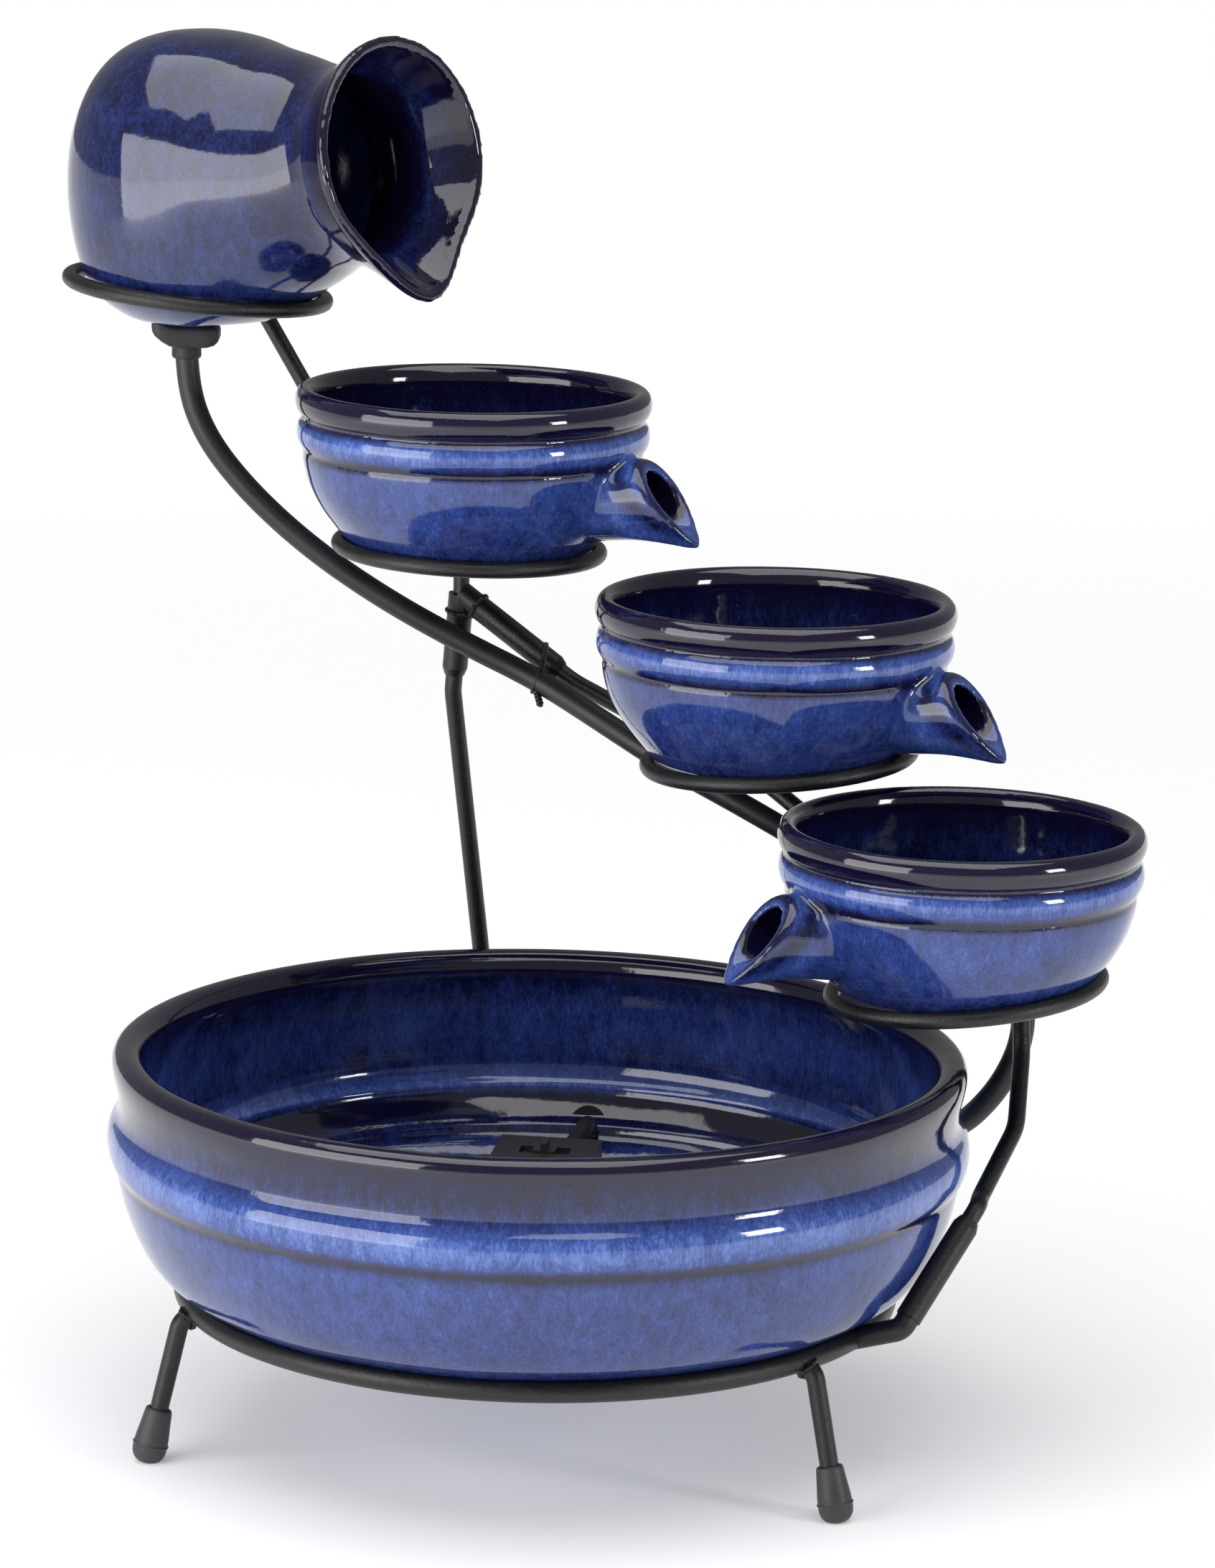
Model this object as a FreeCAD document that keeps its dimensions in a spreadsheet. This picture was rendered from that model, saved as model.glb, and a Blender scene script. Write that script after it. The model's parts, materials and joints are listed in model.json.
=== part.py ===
import FreeCAD, Part
import math
import os
import Sketcher
from FreeCAD import Placement, Rotation, Vector

# Cascading ceramic bird bath: a jug pours into three spouted bowls that step
# down a black rod frame into a basin, and a small pump in the basin lifts the
# water back up a hose. Millimetres, +Z up, floor at Z = 0. Places in the sheet
# are measured from the basin's axis; basin_x and basin_y put that axis where
# the whole object's footprint is centred on the origin.

CELLS = [
    # basin and its base ring
    ("basin_x", -15.07), ("basin_y", -27.36),
    ("base_ring_radius", 136.5), ("base_ring_rod", 4.2), ("base_ring_height", 59.0),
    ("basin_lip_radius", 159.0), ("basin_lip_tube", 6.1), ("basin_lip_height", 90.2),
    ("basin_wall", 9.0), ("basin_floor", 10.0), ("basin_foot_radius", 124.0),
    ("basin_seat_radius", 290.0), ("basin_side_radius", 163.6), ("basin_side_height", 48.2),
    ("basin_curve", 52.0), ("basin_inner_curve", 40.0), ("basin_seat_top", 8.0),
    ("basin_bead_low", 54.2), ("basin_bead_high", 70.2), ("basin_neck_radius", 162.8),
    ("seat_gap", 0.3),
    # legs and their caps
    ("leg_rod", 3.6), ("foot_splay", 17.5), ("leg_knee_out", 6.0), ("leg_knee_drop", 5.0),
    ("leg_bend", 7.0), ("first_leg_angle", 78.4), ("cap_length", 21.0), ("cap_top", 5.0),
    ("cap_bottom", 6.7), ("cap_socket", 15.0), ("cap_sole_cut", 0.9), ("push_gap", 0.05),
    # small rings and the pots' seats
    ("pot_ring_radius", 51.7), ("pot_ring_rod", 3.2),
    ("bowl_seat_radius", 57.0), ("bowl_seat_centre", 32.0), ("jug_seat_radius", 69.0),
    # bowls
    ("bowl_lip_radius", 66.5), ("bowl_lip_tube", 4.1), ("bowl_lip_height", 60.4),
    ("bowl_wall", 5.6), ("bowl_floor", 6.0), ("bowl_seat_top", 9.5), ("bowl_curve", 32.0),
    ("bowl_side_radius", 67.1), ("bowl_side_height", 36.0), ("bowl_groove_radius", 66.6),
    ("bowl_bead_low", 40.0), ("bowl_bead_high", 52.4),
    ("bowl_neck_radius", 68.4), ("bowl_inner_curve", 26.0),
    ("spout_root_reach", 52.0), ("spout_root_height", 29.0), ("spout_root_radius", 15.5),
    ("spout_tip_reach", 98.0), ("spout_tip_height", 23.0), ("spout_tip_radius", 13.5),
    ("spout_slant_reach", 75.0), ("spout_slant_height", 42.0), ("spout_slant", 37.15),
    ("channel_root_radius", 10.5), ("channel_tip_radius", 8.4), ("channel_rise", 1.2),
    ("upper_x", -32.0), ("upper_y", 105.0), ("upper_z", 330.8), ("upper_aim", -26.0),
    ("middle_x", 88.5), ("middle_y", 55.0), ("middle_z", 258.6), ("middle_aim", -28.0),
    ("lower_x", 159.5), ("lower_y", -15.0), ("lower_z", 185.2), ("lower_aim", 206.0),
    ("upper_cant", 1.5), ("middle_cant", -4.6), ("lower_cant", -6.0), ("jug_cant", 5.0),
    # jug
    ("jug_x", -141.0), ("jug_y", 165.0), ("jug_z", 467.0), ("jug_radius", 57.0),
    ("jug_seat_rise", 8.0), ("jug_base_drop", 54.5), ("jug_shoulder_drop", 38.0),
    ("jug_dome_rise", 4.5), ("jug_wall", 5.0), ("neck_turn", -36.0), ("neck_pitch", -9.0),
    ("throat_reach", 46.0), ("throat_radius", 46.0), ("collar_reach", 74.0),
    ("collar_radius", 37.0), ("mouth_reach", 99.0), ("mouth_radius", 50.5),
    ("mouth_pinch", 11.0), ("spigot_x", -149.5), ("spigot_y", 160.0), ("spigot_radius", 5.0),
    ("flange_long", 13.0), ("flange_wide", 9.5), ("flange_thick", 6.5),
    ("tail_length", 8.5), ("tail_collar", 1.2), ("tail_gap", 0.02),
    ("locknut_across", 16.0), ("locknut_thick", 6.0),
    # frame rods
    ("strut_rod", 3.3), ("post_rod", 3.5), ("arm_rod", 3.4), ("sleeve_wall", 1.6),
    ("sleeve_taper", 3.0), ("node_x", -37.0), ("node_y", 158.0), ("node_z", 303.0),
    ("sleeve_drop", 34.0), ("strut_bend", 30.0), ("arm_bend", 26.0), ("plug_depth", 16.0),
    ("plug_lead", 7.0), ("post_bend", 22.0),
    # hose
    ("hose_radius", 4.7), ("hose_bore", 3.3), ("grommet_angle", 82.4), ("grommet_height", 84.0),
    ("grommet_radius", 8.4), ("hose_loop", 173.5),
    # pump
    ("pump_reach", 16.0), ("pump_length", 46.0), ("pump_width", 40.0), ("pump_height", 34.0),
    ("pump_lift", 6.0), ("pump_wall", 2.4), ("outlet_length", 16.0),
    ("rotor_radius", 9.0), ("rotor_length", 18.0), ("rotor_gap", 1.2), ("vane_length", 7.0),
    ("vane_thick", 1.6), ("pin_radius", 1.5), ("pin_gap", 0.06), ("cover_depth", 13.0),
    ("cover_overlap", 5.0), ("cover_gap", 0.35), ("grille_slot", 3.0), ("slider_wide", 9.0),
    ("slider_travel", 5.0), ("cup_radius", 7.0), ("cup_neck", 2.6),
    ("cup_inset", 11.0), ("rim_thick", 2.0), ("rotor_height", 15.0), ("gland_radius", 4.6),
    ("gland_bore", 2.6), ("gland_length", 9.0), ("gland_side", 12.0), ("gland_height", 12.0),
    # tie round the sleeve and the hose
    ("tie_thick", 1.3), ("tie_wide", 2.6), ("tie_gap", 0.3), ("tie_knob", 2.3), ("tie_along", 0.82),
]

doc = FreeCAD.newDocument("CascadeBirdBath")
sheet = doc.addObject("Spreadsheet::Sheet", "Dims")
for row, (alias, value) in enumerate(CELLS, start=1):
    sheet.set("A%d" % row, alias)
    sheet.set("B%d" % row, str(value))
    sheet.setAlias("B%d" % row, alias)
doc.recompute()


class Size:
    """A length from the sheet, with the expression that binds a property to it."""

    def __init__(self, value, text):
        self.value = value
        self.text = text

    def combine(self, other, sign, result):
        text = other.text if isinstance(other, Size) else repr(float(other))
        return Size(result, "(%s %s %s)" % (self.text, sign, text))

    def __add__(self, other):
        return self.combine(other, "+", self.value + number(other))

    def __sub__(self, other):
        return self.combine(other, "-", self.value - number(other))

    def __mul__(self, other):
        return self.combine(other, "*", self.value * number(other))

    def __truediv__(self, other):
        return self.combine(other, "/", self.value / number(other))

    def __neg__(self):
        return self * -1.0


def number(item):
    return item.value if isinstance(item, Size) else float(item)


def root(item):
    return Size(math.sqrt(item.value), "sqrt(%s)" % item.text)


def cosine(angle):
    return Size(math.cos(math.radians(angle.value)), "cos(%s * 1 deg)" % angle.text)


def sine(angle):
    return Size(math.sin(math.radians(angle.value)), "sin(%s * 1 deg)" % angle.text)


class Sheet:
    """Reads an alias of the sheet as a Size."""

    def __getattr__(self, alias):
        return Size(float(sheet.get(alias)), "Dims." + alias)


S = Sheet()
zero = Size(0.0, "0")
NODES = []


def bind(item, prop, size):
    item.setExpression(prop, size.text)


def settle(item, at, turn=Rotation()):
    """Places an object at a point of Sizes, with a fixed turn."""
    item.Placement = Placement(Vector(*[number(c) for c in at]), turn)
    for axis, coordinate in zip("xyz", at):
        bind(item, "Placement.Base." + axis, coordinate)
    return item


def keep(item, label):
    """Marks an object as a piece of the bird bath, under its own name."""
    item.Label = label
    NODES.append(item)
    return item


def cylinder(name, radius, height, at, turn=Rotation()):
    item = doc.addObject("Part::Cylinder", name)
    item.Radius = radius.value
    item.Height = height.value
    bind(item, "Radius", radius)
    bind(item, "Height", height)
    return settle(item, at, turn)


def cone(name, low, high, height, at, turn=Rotation()):
    item = doc.addObject("Part::Cone", name)
    for prop, size in (("Radius1", low), ("Radius2", high), ("Height", height)):
        setattr(item, prop, size.value)
        bind(item, prop, size)
    return settle(item, at, turn)


def box(name, sizes, at, turn=Rotation()):
    item = doc.addObject("Part::Box", name)
    for prop, size in zip(("Length", "Width", "Height"), sizes):
        setattr(item, prop, size.value)
        bind(item, prop, size)
    return settle(item, at, turn)


def torus(name, radius, rod, at, turn=Rotation()):
    item = doc.addObject("Part::Torus", name)
    for prop, size in (("Radius1", radius), ("Radius2", rod)):
        setattr(item, prop, size.value)
        bind(item, prop, size)
    return settle(item, at, turn)


def fuse(name, items):
    item = doc.addObject("Part::MultiFuse", name)
    item.Shapes = items
    return item


def cut(name, base, tools):
    item = doc.addObject("Part::Cut", name)
    item.Base = base
    item.Tool = tools[0] if len(tools) == 1 else fuse(name + "_tools", tools)
    return item


def made(name, shape):
    item = doc.addObject("Part::Feature", name)
    item.Shape = shape
    return item


def origin_plane(body, role):
    return next(f for f in body.Origin.OriginFeatures if f.Role == role)


def outline(sketch, corners):
    """Draws a closed outline. A corner is (x, y) or (x, y, radius, side), where
    the edge that leaves it is an arc of that radius, side +1 with its centre on
    the left of the way round and -1 on the right."""
    count = len(corners)
    starts = []
    for index, corner in enumerate(corners):
        p = Vector(number(corner[0]), number(corner[1]), 0)
        following = corners[(index + 1) % count]
        q = Vector(number(following[0]), number(following[1]), 0)
        if len(corner) == 2:
            geo = sketch.addGeometry(Part.LineSegment(p, q), False)
            starts.append((geo, 1, 2))
            continue
        radius, side = corner[2], corner[3]
        middle = (p + q) * 0.5
        half = (q - p).Length * 0.5
        left = Vector(-(q - p).y, (q - p).x, 0).normalize()
        centre = middle + left * (side * math.sqrt(radius.value ** 2 - half ** 2))
        begin, end = (p, q) if side > 0 else (q, p)
        angles = [math.atan2(v.y - centre.y, v.x - centre.x) for v in (begin, end)]
        circle = Part.Circle(centre, Vector(0, 0, 1), radius.value)
        geo = sketch.addGeometry(Part.ArcOfCircle(circle, angles[0], angles[1]), False)
        starts.append((geo, 1, 2) if side > 0 else (geo, 2, 1))
        rule = sketch.addConstraint(Sketcher.Constraint("Radius", geo, radius.value))
        sketch.setExpression("Constraints[%d]" % rule, radius.text)
    for index, (geo, begin, end) in enumerate(starts):
        after, after_begin = starts[(index + 1) % count][:2]
        sketch.addConstraint(Sketcher.Constraint("Coincident", geo, end, after, after_begin))
    for corner, (geo, begin, end) in zip(corners, starts):
        for kind, axis, size in (("DistanceX", -2, corner[0]), ("DistanceY", -1, corner[1])):
            if abs(number(size)) < 1e-9:
                sketch.addConstraint(Sketcher.Constraint("PointOnObject", geo, begin, axis))
                continue
            rule = sketch.addConstraint(Sketcher.Constraint(kind, -1, 1, geo, begin, size.value))
            sketch.setExpression("Constraints[%d]" % rule, size.text)


def new_sketch(body, name, role="XZ_Plane"):
    sketch = body.newObject("Sketcher::SketchObject", name)
    sketch.AttachmentSupport = (origin_plane(body, role), [""])
    sketch.MapMode = "FlatFace"
    return sketch


def turned(body, name, corners, kind="PartDesign::Revolution"):
    """Revolves an outline of the body's XZ plane round its Z axis."""
    sketch = new_sketch(body, name + "_outline")
    outline(sketch, corners)
    feature = body.newObject(kind, name)
    feature.Profile = sketch
    feature.ReferenceAxis = (sketch, ["V_Axis"])
    feature.Angle = 360.0
    return feature


def disc_at(body, name, reach, height, radius):
    """A circle standing across the body's X axis, for a spout's sections."""
    sketch = new_sketch(body, name, "YZ_Plane")
    sketch.AttachmentOffset = Placement(Vector(0, 0, reach.value), Rotation())
    bind(sketch, "AttachmentOffset.Base.z", reach)
    geo = sketch.addGeometry(
        Part.Circle(Vector(0, height.value, 0), Vector(0, 0, 1), radius.value), False)
    sketch.addConstraint(Sketcher.Constraint("PointOnObject", geo, 3, -2))
    rule = sketch.addConstraint(Sketcher.Constraint("DistanceY", -1, 1, geo, 3, height.value))
    sketch.setExpression("Constraints[%d]" % rule, height.text)
    rule = sketch.addConstraint(Sketcher.Constraint("Radius", geo, radius.value))
    sketch.setExpression("Constraints[%d]" % rule, radius.text)
    return sketch


def spun_body(name):
    return doc.addObject("PartDesign::Body", name)


# ---- helpers for bent rods and the hose ------------------------------------

def bent_path(points, radii):
    """Straight runs joined by tangent arcs; radii has one value per inner point."""
    edges = []
    start = points[0]
    for index in range(1, len(points) - 1):
        corner = points[index]
        back = (points[index - 1] - corner).normalize()
        onward = (points[index + 1] - corner).normalize()
        half_turn = (math.pi - back.getAngle(onward)) / 2
        reach = radii[index - 1] * math.tan(half_turn)
        first = corner + back * reach
        last = corner + onward * reach
        inward = (back + onward).normalize()
        centre = corner + inward * (radii[index - 1] / math.cos(half_turn))
        middle = centre - inward * radii[index - 1]
        edges.append(Part.LineSegment(start, first).toShape())
        edges.append(Part.Arc(first, middle, last).toShape())
        start = last
    edges.append(Part.LineSegment(start, points[-1]).toShape())
    return Part.Wire(edges)


def largest_radii(points, limit=None):
    """The biggest arc that each corner's two runs allow, up to a limit."""
    radii = []
    for before, corner, after in zip(points, points[1:], points[2:]):
        shorter = min((before - corner).Length, (after - corner).Length)
        half_turn = (math.pi - (before - corner).getAngle(after - corner)) / 2
        radius = 0.45 * shorter / math.tan(half_turn)
        radii.append(radius if limit is None else min(radius, limit))
    return radii


def swept(wire, radius):
    start = wire.Edges[0].valueAt(wire.Edges[0].FirstParameter)
    direction = wire.Edges[0].tangentAt(wire.Edges[0].FirstParameter)
    ring = Part.Wire([Part.makeCircle(radius, start, direction)])
    pipe = wire.makePipeShell([ring], True, False)
    expected = math.pi * radius ** 2 * wire.Length
    if abs(pipe.Volume - expected) > 0.02 * expected:
        raise RuntimeError("a bent rod came out with the wrong volume")
    return pipe


def rod_between(start, end, radius):
    return Part.makeCylinder(radius, (end - start).Length, start, end - start)


def here(x, y, z):
    """A point given from the basin's axis, in the object's own frame."""
    return Vector(x + S.basin_x.value, y + S.basin_y.value, z)


def along_z(direction):
    return Rotation(Vector(0, 0, 1), direction)


# ---- basin ------------------------------------------------------------------

def seat_height():
    """How high the basin's bottom stands: its rounded seat lies on the base ring."""
    reach = S.basin_seat_radius + S.seat_gap + S.base_ring_rod
    drop = root(reach * reach - S.base_ring_radius * S.base_ring_radius)
    foot_drop = root(S.basin_seat_radius * S.basin_seat_radius
                     - S.basin_foot_radius * S.basin_foot_radius)
    return S.base_ring_height + drop - foot_drop


basin_bottom = seat_height()
basin_axis = (S.basin_x, S.basin_y, basin_bottom)


def basin_seat_edge(height):
    """The seat's radius at a height over the basin's bottom."""
    ball = S.basin_seat_radius
    centre = root(ball * ball - S.basin_foot_radius * S.basin_foot_radius)
    up = centre - height
    return root(ball * ball - up * up)


def make_basin():
    body = spun_body("basin_shell")
    settle(body, basin_axis)
    seat_top = S.basin_seat_top
    lip = S.basin_lip_height
    tube = S.basin_lip_tube
    turned(body, "basin_solid", [
        (zero, zero), (S.basin_foot_radius, zero, S.basin_seat_radius, 1),
        (basin_seat_edge(seat_top), seat_top, S.basin_curve, 1),
        (S.basin_side_radius, S.basin_side_height),
        (S.basin_side_radius, S.basin_bead_low, (S.basin_bead_high - S.basin_bead_low) * 0.62, 1),
        (S.basin_neck_radius, S.basin_bead_high),
        (S.basin_lip_radius + tube * 0.85, lip - tube * 0.8, tube * 1.3, 1),
        (S.basin_lip_radius, lip + tube), (zero, lip + tube)])
    inner = S.basin_lip_radius - tube
    turned(body, "basin_hollow", [
        (zero, S.basin_floor), (S.basin_foot_radius, S.basin_floor, S.basin_inner_curve, 1),
        (S.basin_side_radius - S.basin_wall, S.basin_side_height),
        (inner, lip, tube, -1),
        (S.basin_lip_radius, lip + tube), (S.basin_lip_radius, lip + tube + 10.0),
        (zero, lip + tube + 10.0)], "PartDesign::Groove")
    doc.recompute()
    drill = cylinder("basin_drill", S.grommet_radius - S.push_gap, S.basin_lip_radius * 0.5,
                     radial(S.grommet_angle, S.basin_lip_radius * 0.72, S.grommet_height),
                     Rotation(Vector(0, 0, 1), S.grommet_angle.value) * along_z(Vector(1, 0, 0)))
    return keep(cut("basin_cut", body, [drill]), "basin")


def radial(angle, reach, height):
    """A point at a reach from the basin's axis, on a bearing."""
    return (S.basin_x + cosine(angle) * reach, S.basin_y + sine(angle) * reach, height)


make_basin()

# ---- base ring, legs and caps ------------------------------------------------

keep(torus("base_ring_rod_ring", S.base_ring_radius, S.base_ring_rod,
           (S.basin_x, S.basin_y, S.base_ring_height)), "base_ring")


def leg_points(angle):
    turn = Rotation(Vector(0, 0, 1), angle)
    height = S.base_ring_height.value
    ring = S.base_ring_radius.value
    knee = (ring + S.leg_knee_out.value, height - S.leg_knee_drop.value)
    foot = (ring + S.foot_splay.value, S.cap_length.value - S.cap_socket.value)
    points = [(ring, height), knee, foot]
    return [here(*turn.multVec(Vector(reach, 0, up))) for reach, up in points]


def make_leg(place, angle):
    points = leg_points(angle)
    path = bent_path(points, [S.leg_bend.value])
    ring = Part.makeTorus(S.base_ring_radius.value, S.base_ring_rod.value,
                          here(0, 0, S.base_ring_height.value))
    leg = swept(path, S.leg_rod.value).cut(ring)
    keep(made(place + "_leg_rod", largest_solid(leg)), place + "_leg")
    down = (points[2] - points[1]).normalize()
    end = points[2]
    top = end - down * S.cap_socket.value
    cap_end = top + down * S.cap_length.value
    # the cap swells towards a domed sole, and the sole is ground flat at the floor
    belly = S.cap_bottom.value
    barrel = Part.makeCone(S.cap_top.value, belly, S.cap_length.value - belly, top, down)
    dome = Part.makeSphere(belly, cap_end - down * belly)
    cap = barrel.fuse(dome)
    socket = rod_between(top - down, end, S.leg_rod.value + S.push_gap.value)
    cap.translate(Vector(0, 0, -cap.BoundBox.ZMin - S.cap_sole_cut.value))
    below = Part.makeBox(60, 60, 40, Vector(end.x - 30, end.y - 30, -40))
    cap = largest_solid(cap.cut(below).cut(socket))
    return keep(made(place + "_cap_rubber", cap), place + "_foot_cap")


def largest_solid(shape):
    return max(shape.Solids, key=lambda solid: solid.Volume).copy()


LEGS = (("rear", 0), ("left", 120), ("right", 240))
for leg_name, step in LEGS:
    make_leg(leg_name, S.first_leg_angle.value + step)

# ---- bowls and their rings -----------------------------------------------------

def ring_place(x, y, z, seat_radius, cant):
    """Centre of a rod ring on which a ball-shaped seat, centred at x, y, z, lies."""
    reach = seat_radius + S.seat_gap + S.pot_ring_rod
    drop = root(reach * reach - S.pot_ring_radius * S.pot_ring_radius)
    return (S.basin_x + x - drop * sine(cant), S.basin_y + y, z - drop * cosine(cant))


def make_ring(label, x, y, z, seat_radius, cant):
    at = ring_place(x, y, z, seat_radius, cant)
    turn = Rotation(Vector(0, 1, 0), cant.value)
    return keep(torus(label + "_rod", S.pot_ring_radius, S.pot_ring_rod, at, turn), label)


def bowl_seat_edge(height):
    ball = S.bowl_seat_radius
    up = S.bowl_seat_centre - height
    return root(ball * ball - up * up)


def slant_spout(body, label):
    """Cuts the spout's end on a slant, so that its mouth faces outward and up."""
    reach = S.spout_tip_reach + S.spout_tip_radius
    away = body.newObject("PartDesign::SubtractiveBox", label + "_slant")
    for name in ("Length", "Width", "Height"):
        setattr(away, name, reach.value)
        bind(away, name, reach)
    turn = Rotation(Vector(0, 1, 0), -S.spout_slant.value)
    corner = Vector(S.spout_slant_reach.value, 0, S.spout_slant_height.value)
    shift = turn.multVec(Vector(0, -reach.value / 2, -reach.value))
    away.Placement = Placement(corner + shift, turn)


def make_bowl(label, x, y, z, aim):
    body = spun_body(label + "_body")
    settle(body, (S.basin_x + x, S.basin_y + y, z), Rotation(Vector(0, 0, 1), aim.value))
    lip = S.bowl_lip_height
    tube = S.bowl_lip_tube
    bead = (S.bowl_bead_high - S.bowl_bead_low) * 0.62
    turned(body, label + "_solid", [
        (zero, zero), (bowl_seat_edge(zero), zero, S.bowl_seat_radius, 1),
        (bowl_seat_edge(S.bowl_seat_top), S.bowl_seat_top, S.bowl_curve, 1),
        (S.bowl_side_radius, S.bowl_side_height),
        (S.bowl_groove_radius, S.bowl_bead_low, bead, 1),
        (S.bowl_neck_radius, S.bowl_bead_high),
        (S.bowl_lip_radius + tube * 0.8, lip - tube * 0.8, tube * 1.3, 1),
        (S.bowl_lip_radius, lip + tube), (zero, lip + tube)])
    root_disc = disc_at(body, label + "_spout_root", S.spout_root_reach, S.spout_root_height,
                        S.spout_root_radius)
    tip_disc = disc_at(body, label + "_spout_tip", S.spout_tip_reach, S.spout_tip_height,
                       S.spout_tip_radius)
    spout = body.newObject("PartDesign::AdditiveLoft", label + "_spout")
    spout.Profile = root_disc
    spout.Sections = [tip_disc]
    spout.Ruled = True
    slant_spout(body, label)
    wall = S.bowl_wall
    turned(body, label + "_hollow", [
        (zero, S.bowl_floor),
        (bowl_seat_edge(zero) - wall * 2.0, S.bowl_floor, S.bowl_inner_curve * 1.2, 1),
        (S.bowl_side_radius - wall, S.bowl_side_height),
        (S.bowl_lip_radius - tube, lip, tube, -1),
        (S.bowl_lip_radius, lip + tube), (S.bowl_lip_radius, lip + tube + 10.0),
        (zero, lip + tube + 10.0)], "PartDesign::Groove")
    rise = S.channel_rise
    channel_root = disc_at(body, label + "_channel_root", S.spout_root_reach - 2.0,
                           S.spout_root_height, S.channel_root_radius)
    channel_tip = disc_at(body, label + "_channel_tip", S.spout_tip_reach + 1.0,
                          S.spout_tip_height + rise, S.channel_tip_radius)
    channel = body.newObject("PartDesign::SubtractiveLoft", label + "_channel")
    channel.Profile = channel_root
    channel.Sections = [channel_tip]
    channel.Ruled = True
    return keep(body, label)


BOWLS = (
    ("upper", S.upper_x, S.upper_y, S.upper_z, S.upper_aim, S.upper_cant),
    ("middle", S.middle_x, S.middle_y, S.middle_z, S.middle_aim, S.middle_cant),
    ("lower", S.lower_x, S.lower_y, S.lower_z, S.lower_aim, S.lower_cant),
)
RINGS = {}
for level, bowl_x, bowl_y, bowl_z, bowl_aim, bowl_cant in BOWLS:
    make_bowl(level + "_bowl", bowl_x, bowl_y, bowl_z, bowl_aim)
    RINGS[level] = make_ring(level + "_ring", bowl_x, bowl_y, bowl_z + S.bowl_seat_centre,
                             S.bowl_seat_radius, bowl_cant)
RINGS["jug"] = make_ring("jug_ring", S.jug_x, S.jug_y, S.jug_z + S.jug_seat_rise,
                         S.jug_seat_radius, S.jug_cant)

# ---- jug -------------------------------------------------------------------------

jug_centre = here(S.jug_x.value, S.jug_y.value, S.jug_z.value)


def turned_shape(corners, at):
    """A solid turned round Z from (radius, height) corners; a third value on a
    corner is the middle point of the arc that leaves it."""
    edges = []
    for index, corner in enumerate(corners):
        following = corners[(index + 1) % len(corners)]
        p = Vector(corner[0], 0, corner[1])
        q = Vector(following[0], 0, following[1])
        if len(corner) == 3:
            edges.append(Part.Arc(p, Vector(corner[2][0], 0, corner[2][1]), q).toShape())
        else:
            edges.append(Part.LineSegment(p, q).toShape())
    face = Part.Face(Part.Wire(edges))
    solid = face.revolve(Vector(0, 0, 0), Vector(0, 0, 1), 360)
    solid.translate(at)
    return Part.Solid(solid.Shells[0]) if solid.ShapeType != "Solid" else solid


def jug_belly(shrink):
    """The jug's round belly, drawn in by a wall's thickness."""
    ball = S.jug_seat_radius.value - shrink
    rise = S.jug_seat_rise.value
    base = S.jug_base_drop.value - shrink
    shoulder = S.jug_shoulder_drop.value - shrink * 0.6
    wide = S.jug_radius.value - shrink
    top = wide + S.jug_dome_rise.value

    def seat(height):
        return math.sqrt(ball ** 2 - (rise + height) ** 2)

    middle = (base + shoulder) / 2
    side = ((wide + seat(shoulder)) / 2 + 0.8, -shoulder * 0.5)
    half = math.radians(45)
    dome = S.jug_dome_rise.value
    return turned_shape([
        (0, -base), (seat(base), -base, (seat(middle), -middle)),
        (seat(shoulder), -shoulder, side),
        (wide, dome, (wide * math.cos(half), dome + wide * math.sin(half))),
        (0, top)], jug_centre)


def mouth_section(reach, radius, pinch, drop=0.0):
    """A closed curve across the neck, drawn out into a pouring lip below."""
    count = 16
    points = []
    for step in range(count):
        angle = 2 * math.pi * step / count
        away = math.atan2(math.sin(angle + math.pi / 2), math.cos(angle + math.pi / 2))
        bulge = pinch * math.exp(-(away / 0.42) ** 2)
        side = -1.4 * pinch * math.exp(-((abs(away) - 0.85) / 0.4) ** 2) * 0.25
        r = radius + bulge + side
        points.append(Vector(r * math.cos(angle), r * math.sin(angle) + drop, reach))
    curve = Part.BSplineCurve()
    curve.interpolate(points, PeriodicFlag=True)
    return Part.Wire([curve.toShape()])


def neck_turn():
    """Turns Z to the neck's axis and -Y to the underside of the neck."""
    bearing = Rotation(Vector(0, 0, 1), S.neck_turn.value)
    lift = Rotation(Vector(0, 1, 0), S.neck_pitch.value)
    upright = Rotation(Vector(0, 1, 0), 90) * Rotation(Vector(0, 0, 1), 90)
    return bearing * lift * upright


def neck_solid(shrink, start, overrun):
    pinch = S.mouth_pinch.value
    sections = [
        mouth_section(start, S.throat_radius.value + 4 - shrink, 0),
        mouth_section(S.throat_reach.value, S.throat_radius.value - shrink, 0),
        mouth_section(S.collar_reach.value, S.collar_radius.value - shrink, pinch * 0.05),
        mouth_section(S.mouth_reach.value, S.mouth_radius.value - shrink, pinch),
    ]
    if overrun:
        grow = (S.mouth_radius.value - S.collar_radius.value) * 0.3
        sections.append(mouth_section(S.mouth_reach.value + overrun,
                                      S.mouth_radius.value - shrink + grow, pinch * 1.1))
    loft = Part.makeLoft(sections, True, False)
    loft.Placement = Placement(jug_centre, neck_turn())
    return loft


def make_jug():
    wall = S.jug_wall.value
    outside = jug_belly(0).fuse(neck_solid(0, 8, 0))
    inside = jug_belly(wall).fuse(neck_solid(wall, 4, 8))
    spigot = here(S.spigot_x.value, S.spigot_y.value, 0)
    height = jug_centre.z - S.jug_base_drop.value
    hole = Part.makeCylinder(S.spigot_radius.value + S.seat_gap.value, wall * 8,
                             Vector(spigot.x, spigot.y, height - wall * 2))
    jug = outside.cut(inside).cut(hole)
    return keep(made("jug_pot", largest_solid(jug)), "jug")


make_jug()

# ---- hose connector under the jug --------------------------------------------------

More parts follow.
